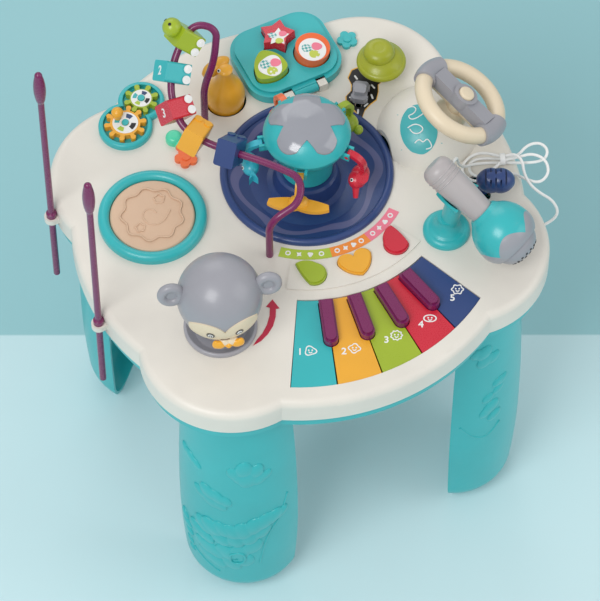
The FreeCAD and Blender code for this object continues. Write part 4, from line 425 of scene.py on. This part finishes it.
def finished(piece, name, body, finish, stand=None, smooth=35):
    """Puts a piece's place into its mesh, names it, and gives it its finish and its body."""
    clear()
    if stand is not None:
        piece.matrix_world = stand @ piece.matrix_world
    bpy.context.view_layer.update()
    piece.select_set(True)
    bpy.context.view_layer.objects.active = piece
    bpy.ops.object.transform_apply(location=True, rotation=True, scale=True)
    piece.name = name
    piece.data.name = name
    dress(piece, finish)
    if smooth:
        soften(piece, smooth)
    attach(piece, body)
    return piece


def use(piece, kind, **settings):
    """Adds a modifier and applies it."""
    clear()
    piece.select_set(True)
    bpy.context.view_layer.objects.active = piece
    modifier = piece.modifiers.new(kind.title(), kind)
    for name, value in settings.items():
        setattr(modifier, name, value)
    bpy.ops.object.modifier_apply(modifier=modifier.name)
    return piece


def flat_shape(outlines, thickness, bevel=0.00015):
    """A flat piece cut to closed outlines in millimetres, later ones as holes in earlier ones."""
    clear()
    data = bpy.data.curves.new("outline", "CURVE")
    data.dimensions = "2D"
    data.fill_mode = "BOTH"
    data.extrude = thickness / 2
    data.bevel_depth = bevel
    data.bevel_resolution = 1
    for outline in outlines:
        spline = data.splines.new("POLY")
        spline.points.add(len(outline) - 1)
        for point, (x, y) in zip(spline.points, outline):
            point.co = (x / 1000, y / 1000, thickness / 2, 1)
        spline.use_cyclic_u = True
    piece = bpy.data.objects.new("outline", data)
    bpy.context.scene.collection.objects.link(piece)
    bpy.context.view_layer.update()
    piece.select_set(True)
    bpy.context.view_layer.objects.active = piece
    bpy.ops.object.convert(target="MESH")
    return active()


def round_outline(radius, count=36, middle=(0, 0), squash=1.0, wave=0.0, lobes=5, roll=0.0):
    """A circle, an oval or a lobed flower."""
    points = []
    for number in range(count):
        angle = math.tau * number / count
        reach = radius * (1 + wave * math.cos(lobes * angle + roll))
        points.append((
            middle[0] + reach * math.cos(angle), middle[1] + reach * squash * math.sin(angle)))
    return points


def star_outline(radius, tips=5, depth=0.45, middle=(0, 0), roll=90.0):
    """A star whose inner corners lie at a share of its radius."""
    points = []
    for number in range(2 * tips):
        reach = radius * (1 if number % 2 == 0 else depth)
        angle = math.radians(roll) + math.pi * number / tips
        points.append((middle[0] + reach * math.cos(angle), middle[1] + reach * math.sin(angle)))
    return points


def arc_band(inner, outer, start, stop, count=40, middle=(0, 0)):
    """A band between two radii and two bearings."""
    points = []
    for reach, bearings in ((outer, (start, stop)), (inner, (stop, start))):
        for number in range(count):
            bearing = math.radians(bearings[0] + (bearings[1] - bearings[0]) * number / (count - 1))
            points.append((
                middle[0] + reach * math.cos(bearing), middle[1] + reach * math.sin(bearing)))
    return points


def sheet(outlines, name, body, finish, stand, thickness=0.0004):
    """A printed flat piece, placed."""
    return finished(flat_shape(outlines, thickness, 0.0001), name, body, finish, stand)


def numeral(figure, size, thickness=0.0004):
    """A figure as a mesh, its middle at the origin."""
    clear()
    bpy.ops.object.text_add(location=(0, 0, 0))
    words = active()
    words.data.body = figure
    words.data.size = size / 1000
    words.data.align_x = "CENTER"
    words.data.align_y = "CENTER"
    words.data.extrude = thickness / 2
    words.data.offset = size / 1000 * 0.012
    words.data.bevel_depth = 0.0001
    bpy.ops.object.convert(target="MESH")
    return active()


# ---- Cord ------------------------------------------------------------------

# The cord's route as x and y and the rise above the table top: from the microphone's tail, four
# loops, and back into the side of the table.
CORD_POINTS = [
    (118.5, -56.0, 66.4), (125.9, -50.0, 63.5),
    (131.5, -42.5, 48), (136.5, -36, 29), (144.5, -30.5, 11), (156, -27.5, 4.4), (168, -30.5, 2.4),
    (180.9, -36.1, 2), (193.3, -42.7, 2.4), (206, -48.8, 3), (216, -50, 3.2), (223, -42, 3.2),
    (220, -32, 3.2), (208.5, -29.5, 3), (195.8, -36.2, 2.4), (182.1, -32.9, 2), (170.5, -25.8, 2.2),
    (160, -22.4, 2), (153.2, -25.6, 2), (150.6, -32.6, 2), (153.8, -39.4, 2), (160.8, -42, 2.4),
    (170, -39.8, 4.2), (180.9, -36.1, 5.7), (195, -39.5, 6.2), (207, -41.5, 7), (215, -52, 6.6),
    (212, -65, 4.2), (200, -70, 2.4), (190.5, -60, 2.2), (184, -49, 2.2), (171, -47, 2),
    (158, -47, 2), (147.3, -41.2, 2), (144, -29.5, 2), (151.5, -20.2, 2), (163.5, -17.6, 3),
    (172.8, -23, 5.4), (182.1, -32.9, 5.7), (192, -36.5, 9.8), (195, -46, 10.2), (190.5, -57.5, 8),
    (190.5, -69, 5.6), (194.5, -80, 4.6), (203, -89, -0.5), (205, -97.5, -10), (196, -99, -17),
    (185, -99, -17),
]
CORD_DIAMETER = 0.0026
cord_data = bpy.data.curves.new("mic_cord", "CURVE")
cord_data.dimensions = "3D"
cord_data.bevel_depth = CORD_DIAMETER / 2
cord_data.bevel_resolution = 5
cord_data.resolution_u = 14
cord_data.use_fill_caps = True
line = cord_data.splines.new("NURBS")
line.points.add(len(CORD_POINTS) - 1)
for point, (x, y, rise) in zip(line.points, CORD_POINTS):
    point.co = (*mm(x, y, TOP + rise), 1)
line.order_u = 3
line.use_endpoint_u = True
cord = bpy.data.objects.new("mic_cord", cord_data)
bpy.context.scene.collection.objects.link(cord)
cord_data.materials.append(FINISHES["white_cord"])
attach(cord, "table")
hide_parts("mic_cord_runs", "mic_cord_hank")

# A plastic strip holds the loops together where they cross.
tie = flat_shape([
    round_outline(5.3, 28, (0, 0), 0.86), round_outline(4.7, 28, (0, 0), 0.84)], 0.0042, 0.0002)
tie_across = Vector((0.36, 0.93, 0)).normalized()
tie_along = Vector((0.93, -0.36, 0)).normalized()
tie_stand = Matrix((tie_across, Vector((0, 0, 1)), tie_along)).transposed().to_4x4()
tie_stand = Matrix.Translation(mm(179.6, -33.7, TOP + 4.9)) @ tie_stand
finished(tie, "cord_tie", "table", "white_cord", tie_stand)
tuple(mm(118.5, -56.0, TOP + 66.4))

# ---- Floor and light -------------------------------------------------------

floor_finish = Finish("floor_paper")
tint = floor_finish.noise(0.9, 2.0).step(0.3, 0.7)
floor_x, floor_y, _ = floor_finish.axes()
horizon = FLOOR_LINE.x * 1000 * AWAY.x + FLOOR_LINE.y * 1000 * AWAY.y
depth = (floor_x + OFF) * AWAY.x + floor_y * AWAY.y - horizon
near_tone = floor_finish.mix(tint, colour(196, 227, 232), colour(206, 233, 237))
far_tone = floor_finish.mix(tint, colour(148, 198, 204), colour(158, 204, 209))
floor_finish.shade(
    Base_Color=floor_finish.mix(depth.step(-1.0, 1.0), near_tone, far_tone), Roughness=0.6,
    Normal=floor_finish.bump(floor_finish.noise(600.0), 0.05, 0.0002))
clear()
bpy.ops.mesh.primitive_grid_add(x_subdivisions=4, y_subdivisions=4, size=14, location=(0, 1.5, 0))
floor = active()
floor.name = "floor"
bpy.ops.object.transform_apply(location=True, rotation=True, scale=True)
floor.data.materials.append(floor_finish.material)


def lamp(name, place, power, size, aim=(0, 0, 0.3)):
    """A square lamp aimed at the table."""
    data = bpy.data.lights.new(name, "AREA")
    data.energy = power
    data.size = size
    light = bpy.data.objects.new(name, data)
    bpy.context.scene.collection.objects.link(light)
    light.location = place
    light.rotation_mode = "QUATERNION"
    light.rotation_quaternion = (Vector(aim) - Vector(place)).to_track_quat("-Z", "Y")


lamp("key_light", (-1.5, -0.9, 2.4), 35.0, 1.3)
lamp("fill_light", (1.9, -1.4, 1.7), 12.0, 1.8)
lamp("back_light", (0.4, 2.1, 1.9), 10.0, 1.6)
world = bpy.data.worlds.new("studio")
world.use_nodes = True
world.node_tree.nodes["Background"].inputs["Color"].default_value = (0.98, 0.99, 1.0, 1)
world.node_tree.nodes["Background"].inputs["Strength"].default_value = 0.6
bpy.context.scene.world = world
bpy.context.scene.view_settings.view_transform = "Standard"

# ---- More ways to shape pieces -----------------------------------------------

def joined(pieces):
    """Several objects as one."""
    clear()
    for piece in pieces:
        piece.select_set(True)
    bpy.context.view_layer.objects.active = pieces[0]
    if len(pieces) > 1:
        bpy.ops.object.join()
    return active()


def settled(piece, stand):
    """Places a piece and applies the place to its mesh."""
    clear()
    piece.matrix_world = stand @ piece.matrix_world
    bpy.context.view_layer.update()
    piece.select_set(True)
    bpy.context.view_layer.objects.active = piece
    bpy.ops.object.transform_apply(location=True, rotation=True, scale=True)
    return piece


def blob(radii, stand):
    """A flattened ball in millimetres, placed."""
    clear()
    bpy.ops.mesh.primitive_uv_sphere_add(segments=24, ring_count=14, radius=0.001)
    ball = active()
    ball.scale = radii
    bpy.context.view_layer.update()
    return settled(ball, stand)


def merged(pieces, voxel, rounds=6):
    """Joined balls turned into one smooth skin."""
    whole = joined(pieces)
    use(whole, "REMESH", mode="VOXEL", voxel_size=voxel / 1000)
    return use(whole, "SMOOTH", factor=0.5, iterations=rounds)


def raised(node, spots, name, body, finish, voxel=0.8, rounds=5):
    """A relief of overlapping flattened balls: each spot is across, down, radius and height.

    The view looks steeply down the legs, so a ball that looks round is taller than wide.
    """
    pieces = []
    for across, down, radius, height in spots:
        place, normal = seen(node, across, down)
        pieces.append(
            blob((radius, radius * 1.55, height), upright(place - normal * 0.0003, normal)))
    return finished(merged(pieces, voxel, rounds), name, body, finish, None, 60)


def tube(points, radius, name, body, finish, cyclic=False, smooth=60):
    """A round bead that follows points in metres."""
    clear()
    data = bpy.data.curves.new(name, "CURVE")
    data.dimensions = "3D"
    data.bevel_depth = radius / 1000
    data.bevel_resolution = 3
    data.resolution_u = 5
    data.use_fill_caps = True
    spline = data.splines.new("NURBS")
    spline.points.add(len(points) - 1)
    for point, place in zip(spline.points, points):
        point.co = (*place, 1)
    spline.order_u = 3
    spline.use_cyclic_u = cyclic
    spline.use_endpoint_u = not cyclic
    piece = bpy.data.objects.new(name, data)
    bpy.context.scene.collection.objects.link(piece)
    bpy.context.view_layer.update()
    piece.select_set(True)
    bpy.context.view_layer.objects.active = piece
    bpy.ops.object.convert(target="MESH")
    return finished(active(), name, body, finish, None, smooth)


def bead_on(node, places, radius, name, body, finish, cyclic=False, lift=0.0):
    """A bead that follows a node's surface through places in the frame."""
    points = []
    for across, down in places:
        place, normal = seen(node, across, down)
        points.append(place + normal * lift / 1000)
    return tube(points, radius, name, body, finish, cyclic)


def struck(node, start, direction):
    """Where a straight line first meets a node, and its normal there."""
    found, place, normal, _ = NODES[node].ray_cast(start, direction.normalized())
    if not found:
        raise ValueError(f"{node} isn't on that line")
    return place, normal


def level_stand(x, y, z):
    """A matrix that lays a flat piece level, in the table's millimetres."""
    return Matrix.Translation(mm(x, y, z))


# ---- Piano keys --------------------------------------------------------------

# Each key's figure, and where the figure and the face lie in the frame.
KEY_PRINTS = {
    "key_1_teal": ("1", (300, 352), (310.5, 351)),
    "key_2_amber": ("2", (344, 351.5), (354.5, 348.5)),
    "key_3_lime": ("3", (386.5, 340), (396.5, 335.5)),
    "key_4_red": ("4", (421, 324.5), (430, 318.5)),
    "key_5_navy": ("5", (452.5, 298), (457.5, 289.5)),
}
# Each face is a ring of its own outline with two eyes.
FACE_OUTLINES = [
    round_outline(5.0, 40, (0, 0), 0.92, 0.16, 3, 0.5),
    round_outline(5.0, 40, (0, 0), 0.9, 0.14, 4, 0.6),
    round_outline(5.0, 48, (0, 0), 0.96, 0.10, 9),
    round_outline(5.2, 40, (0, 0), 0.78, 0.10, 2),
    round_outline(5.0, 40, (0, 0), 0.95, 0.12, 6),
]
for (key, (figure, figure_at, face_at)), outline in zip(KEY_PRINTS.items(), FACE_OUTLINES):
    slot = key.rsplit("_", 1)[1]
    place, normal = seen(key, *figure_at)
    finished(
        numeral(figure, 9.0), f"{key}_figure", key, "white_print", upright(place, normal))
    place, normal = seen(key, *face_at)
    ring = flat_shape([outline, [(x * 0.84, y * 0.84) for x, y in outline]], 0.0004)
    dots = [
        flat_shape([round_outline(0.6, 14, (side * 1.5, 0.6))], 0.0004) for side in (-1, 1)]
    nose = flat_shape([arc_band(1.1, 1.7, 200, 340, 12, (0, -0.6))], 0.0004)
    finished(
        joined([ring, *dots, nose]), f"{key}_face", key, "white_print",
        upright(place, normal))

# ---- Prints on the table top ---------------------------------------------------

flat_level = level_stand(0, 0, TOP)
for name, finish, start, stop in (
        ("arc_lime", "lime_print", -132, -102), ("arc_orange", "orange_print", -102, -78),
        ("arc_pink", "pink_print", -78, -53)):
    band = arc_band(80.0, 89.6, start, stop, 44, CAROUSEL)
    sheet([band], name, "table", finish, flat_level)
    marks = []
    for number in range(4):
        bearing = math.radians(start + (stop - start) * (number + 0.75) / 4.6)
        spot = (CAROUSEL[0] + 84.8 * math.cos(bearing), CAROUSEL[1] + 84.8 * math.sin(bearing))
        if number % 3 == 0:
            shape = [round_outline(2.3, 24, spot), round_outline(1.5, 24, spot)]
        elif number % 3 == 1:
            shape = [star_outline(2.6, 4, 0.5, spot, 20)]
        else:
            shape = [round_outline(2.1, 24, spot, 1.0, 0.2, 3)]
        marks.append(flat_shape(shape, 0.0005))
    finished(
        joined(marks), f"{name}_marks", "table", "white_print",
        level_stand(0, 0, TOP + 0.35))

ARROW = [
    (253.4, 345.4), (261, 341), (268, 334), (273, 326), (275.6, 317), (275.8, 309),
    (279.3, 308.4), (272.4, 299.8), (266.2, 306.8), (270, 307.8), (269.6, 316), (267, 325),
    (262.6, 333.4), (257, 340),
]
sheet([drawn(ARROW)], "turn_arrow", "table", "crimson_print", flat_level)

ROAD = [
    (355.2, 110.7), (347, 103), (346.5, 96.5), (351.6, 91), (352, 85), (348.6, 78.5), (352, 71),
    (360.9, 67.2), (372, 66), (384, 69), (388.5, 75.1), (384, 80), (377.6, 85), (377.8, 92),
    (376, 99.5), (369, 105), (364.6, 110), (361.6, 118.6),
]


def slot_outline(middle, length, width, turn):
    """A slot with round ends."""
    points = []
    for end, start in ((1, -90), (-1, 90)):
        for number in range(9):
            angle = math.radians(start + 180 * number / 8)
            along = end * (length - width) / 2 + width / 2 * math.cos(angle)
            across = width / 2 * math.sin(angle)
            lean = math.radians(turn)
            points.append((
                middle[0] + along * math.cos(lean) - across * math.sin(lean),
                middle[1] + along * math.sin(lean) + across * math.cos(lean)))
    return points


road_outline = drawn(ROAD)
road_slot = slot_outline((102, 84), 27, 6.4, 55)
road_middle = (
    sum(x for x, y in road_outline) / len(ROAD), sum(y for x, y in road_outline) / len(ROAD))
road_line = [
    (road_middle[0] + (x - road_middle[0]) * 1.06, road_middle[1] + (y - road_middle[1]) * 1.06)
    for x, y in road_outline]
sheet(
    [road_line, road_slot], "road_edge", "table", "amber_print", flat_level, THIN_PRINT)
sheet(
    [road_outline, road_slot], "road", "table", "black_print",
    level_stand(0, 0, TOP + 0.25), THIN_PRINT)
dashes = []
for across, down, turn in ((358, 112, 60), (366, 105.5, 20), (372, 97, 80), (373, 87, 100),
                           (380, 77, 40), (352, 98, 150), (356, 78, 95)):
    x, y = drawn([(across, down)])[0]
    dash = flat_shape([slot_outline((x, y), 5.0, 1.3, turn)], 0.0003)
    dashes.append(dash)
finished(
    joined(dashes), "road_dashes", "table", "white_print", level_stand(0, 0, TOP + 0.5))

# ---- Oval print on the mound ---------------------------------------------------

place, normal = seen("top_shell", 418.5, 128)
clear()
bpy.ops.mesh.primitive_circle_add(vertices=56, radius=0.001, fill_type="NGON")
oval = active()
oval.scale = (17.5, 25.0, 1.0)
bpy.ops.object.transform_apply(location=False, rotation=False, scale=True)
bpy.ops.object.mode_set(mode="EDIT")
bpy.ops.mesh.select_all(action="SELECT")
for _ in range(9):
    bpy.ops.mesh.inset(thickness=0.0017, depth=0.0)
bpy.ops.mesh.poke()
bpy.ops.object.mode_set(mode="OBJECT")
settled(oval, upright(place, normal, None, 8))
use(oval, "SHRINKWRAP", target=NODES["top_shell"], wrap_method="NEAREST_SURFACEPOINT",
    wrap_mode="ABOVE_SURFACE", offset=0.0003)
use(oval, "SOLIDIFY", thickness=0.0003, offset=0.0)
finished(oval, "mound_oval", "table", "teal_print", None, 60)
SCRIBBLES = [
    [(407, 109), (412, 106), (417, 109), (414, 114), (408, 116), (411, 120), (418, 118),
     (423, 114)],
    [(408, 128), (413, 124), (420, 125), (424, 129), (419, 134), (412, 133), (410, 129)],
    [(415, 143), (419, 138), (423, 143), (427, 138), (431, 143), (432, 148), (426, 149)],
]
for number, places in enumerate(SCRIBBLES):
    bead_on("top_shell", places, 0.55, f"mound_scribble_{number}", "table", "white_print",
            False, 0.55)

# ---- Drum --------------------------------------------------------------------

drum_middle = (-118, 46)
pad_place, pad_normal = struck("drum_pad", mm(*drum_middle, TOP + 60), Vector((0, 0, -1)))
pad_level = pad_place.z


def pad_bead(outline, name, cyclic=True):
    """A bead on the drum's skin that follows an outline about its middle."""
    points = [(*mm(drum_middle[0] + x, drum_middle[1] + y, 0).xy, pad_level) for x, y in outline]
    tube(points, 0.7, name, "drum_pad", "skin", cyclic)


pad_bead(round_outline(26, 90, (0, 0), 1.0, 0.07, 9), "drum_scallop")
pad_bead([
    (reach * math.cos(math.radians(angle)), reach * math.sin(math.radians(angle)))
    for reach, angle in ((4, 0), (6, 60), (8, 120), (10, 180), (12, 240), (14, 300), (16, 350))
], "drum_curl", False)
pad_bead(round_outline(4.4, 30, (12, 12), 1.0, 0.16, 5), "drum_flower")
pad_bead(round_outline(4.0, 30, (-15, -8), 1.0, 0.16, 5), "drum_flower_small")

# ---- Monkey --------------------------------------------------------------------

MONKEY = (-112.4, -79.3, 390.0)
monkey_turn = Matrix.Rotation(math.radians(-108), 4, "Z")
monkey_stand = Matrix.Translation(mm(*MONKEY)) @ monkey_turn
HEAD_RADIUS = 37.5


def on_head(side, rise, lift=0.0):
    """A flat place on the monkey's face, to the side and up from the middle of its head."""
    forward = math.sqrt(HEAD_RADIUS ** 2 - side ** 2 - rise ** 2)
    outward = Vector((forward, side, rise)).normalized()
    place = monkey_stand @ (outward * (HEAD_RADIUS + lift) / 1000)
    return upright(place, monkey_turn.to_3x3() @ outward, Vector((0, 0, 1)))


# Each eye is a black disc with painted highlights: a white ring under the black pupil and a white
# glint dot on it, in the white print finish, stand for the shine on the glossy eye.
for side, name in ((-1, "right"), (1, "left")):
    for finish, radius, lift, part in (
            ("eye_black", 3.5, -0.25, "eye"), ("white_print", 2.1, 0.25, "highlight_ring"),
            ("eye_black", 1.4, 0.5, "pupil"), ("white_print", 0.6, 0.75, "glint")):
        disc = flat_shape([round_outline(radius, 32, (0, 0), 1.12)], 0.0005, 0.00012)
        finished(disc, f"monkey_{part}_{name}", "monkey", finish,
                 on_head(side * 12.2, -5.5, lift))
mouth = flat_shape([arc_band(3.6, 4.5, 215, 325, 16, (0, 3))], 0.0005)
finished(mouth, "monkey_mouth", "monkey", "brown_print", on_head(0, -15.5, -0.1))

bow_places = (
    (3, -7.5, (3.2, 5.6, 4.6)), (3, 7.5, (3.2, 5.6, 4.6)), (4, 0, (3.4, 2.8, 3.2)),
    (2.5, -10.5, (2.6, 3.4, 5.4)), (2.5, 10.5, (2.6, 3.4, 5.4)))
bow = [
    blob(radii, monkey_stand @ Matrix.Translation(
        (0.029 + ahead / 1000, 0.003 + side / 1000, -0.0265)))
    for ahead, side, radii in bow_places]
finished(merged(bow, 0.7, 4), "monkey_bow", "monkey", "amber", None, 60)

# ---- Wheels, figures and eyes on the rail's cars ---------------------------------

# The rail's corners, as x and y and the rise above the table top.
RAIL = [
    (-20, 11, 67), (-58, 57, 62), (-73, 78, 68), (-71, 107, 83), (-54, 130, 102), (-31, 139, 120),
]
CARS = (("car_navy", 0, None, "navy"), ("car_amber", 1, None, "amber"), ("car_red", 2, "3", "red"),
        ("car_teal", 3, "2", "teal"), ("car_lime", 4, "1", "lime"))
for car, run, figure, slot in CARS:
    start, end = (Vector((x, y, TOP + rise)) for x, y, rise in RAIL[run:run + 2])
    along = (end - start).normalized()
    reach = 39.0 if car == "car_navy" else (end - start).length / 2
    roof = Vector((-0.90, 0.17, 0.42))
    roof = (roof - along * roof.dot(along)).normalized()
    side = roof.cross(along)
    middle = start + along * reach
    body_turn = Matrix((along, side, roof)).transposed().to_4x4()
    body_stand = Matrix.Translation(mm(*middle)) @ body_turn
    if figure:
        wheel_caps = []
        for face in (-1, 1):
            for end_side in (-1, 1):
                cap = flat_shape([round_outline(3.5, 32)], 0.0007, 0.00025)
                hub = flat_shape([round_outline(1.2, 20)], 0.0006, 0.0002)
                hub.location.z = 0.0006
                outward = Matrix.Rotation(math.radians(-90 * face), 4, "X")
                here = body_stand @ Matrix.Translation(
                    (end_side * 0.00468, face * 0.0129, -0.0078)) @ outward
                wheel_caps.append(settled(joined([cap, hub]), here))
        finished(joined(wheel_caps), f"{car}_wheels", car, "white_print", None)
        roof_place = body_stand @ Vector((0, 0, 0.0119))
        finished(numeral(figure, 11.0, 0.0005), f"{car}_figure", car, "white_print",
                 upright(roof_place, body_turn.to_3x3() @ Vector((0, 0, 1))))
    if car == "car_lime":
        face_middle = Vector((0.003, 0, 0.017))
        for offset in (-1, 1):
            outward = Vector((0.25, offset * 0.55, 0.8)).normalized()
            place = body_stand @ (face_middle + outward * 0.0084)
            eye_disc = flat_shape([round_outline(1.3, 20)], 0.0004)
            finished(eye_disc, f"{car}_eye_{offset + 1}", car, "eye_black",
                     upright(place, body_turn.to_3x3() @ outward))

# ---- Prints on the play gears --------------------------------------------------

GEARS = (("crank", (-99, 143), 11.2), ("driven", (-75.4, 160.8), 9.0))
GEAR_FACE = 8.2
for body, (x, y), reach in GEARS:
    slot = "amber"
    face_stand = level_stand(x, y, TOP + GEAR_FACE)
    hole = round_outline(3.5, 24)
    sheet(
        [round_outline(reach, 48), hole], f"{body}_print", body, "white_print", face_stand)
    for number, finish in enumerate(("navy_print", "teal_print", "lime_print", "black_print")):
        start = number * 88 + 20
        chip = arc_band(reach * 0.48, reach * 0.84, start, start + 38 + 8 * (number % 2), 14)
        sheet(
            [chip], f"{body}_chip_{number}", body, finish,
            level_stand(x, y, TOP + GEAR_FACE + 0.3), THIN_PRINT)

# ---- Blocks --------------------------------------------------------------------

BLOCK_PRINTS = {
    "block_round": ("orange", round_outline(12.2, 48), (312.4, 49.6)),
    "block_star": ("red", star_outline(10.2, 5, 0.55), (278, 36.8)),
    "block_leaf": ("lime", round_outline(10.4, 48, (0, 0), 1.0, 0.08, 3, 2.6), (270.9, 66)),
}
for block, (slot, outline, at) in BLOCK_PRINTS.items():
    stand = upright(*seen(block, *at))
    sheet([outline], f"{block}_print", block, "white_print", stand, THIN_PRINT)
    for number, (finish, bearing) in enumerate((
            ("pink_print", 40), ("check_print", 165), ("dot_print", 285))):
        spot = (5.2 * math.cos(math.radians(bearing)), 5.2 * math.sin(math.radians(bearing)))
        radius = 4.6 if block != "block_star" else 3.4
        patch = flat_shape([round_outline(radius, 28, spot, 0.86, 0.05, 3)], THIN_PRINT)
        finished(
            patch, f"{block}_patch_{number}", block, finish,
            stand @ Matrix.Translation((0, 0, 0.00035)))

# ---- Microphone ------------------------------------------------------------------

mic_middle = mm(*MIC)
mic_turn = MIC_AXIS.to_track_quat("Z", "Y").to_matrix().to_4x4()


def on_mic(reach, radius, bearing):
    """A place along the microphone's axis and out from it."""
    angle = math.radians(bearing)
    return (mic_middle + MIC_AXIS * reach / 1000
            + mic_turn.to_3x3() @ Vector((math.cos(angle), math.sin(angle), 0)) * radius / 1000)


grip_ribs = []
for reach, radius in ((2.0, 13.8), (6.0, 13.7), (10.0, 13.6)):
    clear()
    bpy.ops.mesh.primitive_torus_add(
        major_radius=radius / 1000, minor_radius=0.0008, major_segments=56, minor_segments=10)
    grip_ribs.append(settled(
        active(), Matrix.Translation(mic_middle + MIC_AXIS * reach / 1000) @ mic_turn))
finished(joined(grip_ribs), "mic_ribs", "mic", "handle_grey", None)
# The grille's holes aren't cut: black discs on its face, in the black print finish, are painted
# shade where the holes' dark insides would be.
shade_discs = []
for count, ring in ((1, 0.0), (6, 4.8), (11, 9.4), (16, 13.6)):
    for number in range(count):
        start = on_mic(140, ring, number * 360 / count + ring * 7)
        place, normal = struck("mic_grille", start, -MIC_AXIS)
        dot = flat_shape([round_outline(1.0, 14)], THIN_PRINT)
        shade_discs.append(settled(dot, upright(place, normal, Vector((0, 0, 1)))))
finished(joined(shade_discs), "mic_hole_shading", "mic", "black_print", None)

# ---- Eyes of the carousel's figures and the duck ----------------------------------

def eye_on(node, body, across, down, radius=1.5):
    """A white disc with a black pupil, on a node's surface."""
    place, normal = seen(node, across, down)
    white = flat_shape([round_outline(radius, 24)], 0.0005, 0.00015)
    finished(white, f"{node}_eye_white", body, "white_print", upright(place, normal))
    pupil = flat_shape([round_outline(radius * 0.6, 20)], 0.0004, 0.0001)
    finished(pupil, f"{node}_pupil", body, "eye_black",
             upright(place + normal * 0.0006, normal))


EYES = (
    ("figure_elephant", "figure_elephant", "red", 352, 180),
    ("figure_fish", "figure_fish", "cyan", 243, 168), ("duck_lever", "duck", "amber", 219, 71))
for node, body, slot, across, down in EYES:
    eye_on(node, body, across, down)

# ---- Reliefs on the legs ------------------------------------------------------------

# Each spot is across and down in the frame, its radius and its height in millimetres.
CLOUDS = {
    "cloud_high": ("leg_front_left", [
        (233, 474, 6, 2.4), (244, 470, 8, 3.0), (256, 471, 7, 2.8), (266, 474, 5, 2.2),
        (248, 479, 9, 2.6), (238, 478, 6, 2.2), (259, 478, 7, 2.2)]),
    "cloud_middle": ("leg_front_left", [
        (200, 490, 6, 2.6), (208, 491, 7.5, 3.0), (217, 497, 7, 2.8), (226, 502, 5.5, 2.4),
        (210, 499, 8, 2.4), (219, 504, 7, 2.2)]),
    "cloud_edge": ("leg_front_left", [
        (186, 448, 5, 2.4), (191, 456, 6, 2.6), (196, 463, 5, 2.4)]),
    "cloud_right_high": ("leg_front_right", [
        (476, 355, 5, 2.4), (484, 353, 7, 2.8), (493, 357, 6, 2.4), (485, 361, 7, 2.4)]),
    "cloud_right_low": ("leg_front_right", [
        (498, 381, 5, 2.2), (502, 378, 5, 2.2), (498, 388, 5, 2.0)]),
}
for name, (leg, spots) in CLOUDS.items():
    raised(leg, spots, name, "table", "teal")
raised("leg_front_left", [
    (198, 527, 8, 3.4), (205, 524, 9, 3.8), (212, 526, 9, 3.8), (222, 529, 8, 3.4),
    (232, 532, 8, 3.4), (243, 531, 9, 3.8), (254, 526, 9, 4.0), (264, 521, 9, 3.6),
    (273, 516, 8, 3.4), (281, 511, 6, 2.8), (205, 534, 8, 3.0), (220, 538, 8, 3.0),
    (236, 541, 8, 3.0), (250, 538, 8, 3.0), (262, 531, 8, 2.8)],
    "house_roof", "table", "teal")
raised("leg_front_left", [
    (204, 543, 8, 2.2), (213, 549, 9, 2.2), (226, 552, 9, 2.2), (240, 552, 9, 2.2),
    (253, 546, 9, 2.2), (208, 553, 8, 2.0), (217, 560, 8, 2.0), (232, 563, 8, 2.0),
    (246, 560, 8, 2.0)],
    "house_wall", "table", "teal")
raised("leg_front_left", [
    (186, 512, 4.6, 2.6), (188, 520, 5.4, 2.8), (190, 529, 4.6, 2.4), (191, 538, 4.0, 2.0),
    (193, 546, 3.4, 1.8)],
    "leg_bush", "table", "teal")
bead_on("leg_front_left", [
    (231, 553), (231, 560), (238, 562), (245, 560), (245, 553), (238, 551), (231, 553)],
    1.1, "house_window", "table", "teal", True, 1.9)
bead_on("leg_front_left", [
    (195, 545), (202, 555), (211, 564), (220, 571)],
    1.0, "hill_line_left", "table", "teal")
bead_on("leg_front_left", [
    (260, 562), (264, 545), (270, 530), (279, 518), (284, 504), (287, 492)],
    1.0, "hill_line_right", "table", "teal")
raised("leg_front_right", [
    (488, 398, 5, 2.2), (491, 406, 7, 2.6), (494, 414, 6, 2.2), (486, 412, 6, 2.2)],
    "leg_tree", "table", "teal")
bead_on("leg_front_right", [
    (460, 428), (470, 436), (481, 438), (491, 432), (499, 420)],
    1.0, "hill_line_front_right", "table", "teal")

# ---- Screws underneath ---------------------------------------------------------------

def screw_head(radius=3.4):
    """A pan head with a crossed slot, its face towards +z."""
    clear()
    bpy.ops.mesh.primitive_cylinder_add(vertices=32, radius=radius / 1000, depth=0.0016)
    head = active()
    bpy.ops.object.mode_set(mode="EDIT")
    bpy.ops.mesh.select_all(action="SELECT")
    bpy.ops.mesh.bevel(offset=0.0005, segments=2, affect="EDGES")
    bpy.ops.object.mode_set(mode="OBJECT")
    for turn in (0, 90):
        clear()
        bpy.ops.mesh.primitive_cube_add(size=1, location=(0, 0, 0.0006))
        slot_tool = active()
        slot_tool.scale = (radius * 1.3 / 1000, 0.0008, 0.0012)
        slot_tool.rotation_euler.z = math.radians(turn)
        bpy.context.view_layer.update()
        use(head, "BOOLEAN", object=slot_tool, operation="DIFFERENCE", solver="EXACT")
        bpy.data.objects.remove(slot_tool)
    return head


first_screw = screw_head()
UNDERSIDE = 302.0
screw_places = [
    (radius * math.cos(math.radians(angle)), radius * math.sin(math.radians(angle)))
    for radius, angle in (
        (150, 0), (150, 90), (150, 180), (150, 270), (60, 135), (60, 225), (62, 305))]
screws = []
for x, y in screw_places:
    spare = first_screw.copy()
    spare.data = first_screw.data.copy()
    bpy.context.scene.collection.objects.link(spare)
    place, normal = struck("bottom_shell", mm(x, y, UNDERSIDE - 60), Vector((0, 0, 1)))
    stand = upright(place + normal * 0.0004, normal, Vector((0, 1, 0)), 20)
    screws.append(settled(spare, stand))
bpy.data.objects.remove(first_screw)
finished(joined(screws), "base_screws", "table", "steel", None, 30)
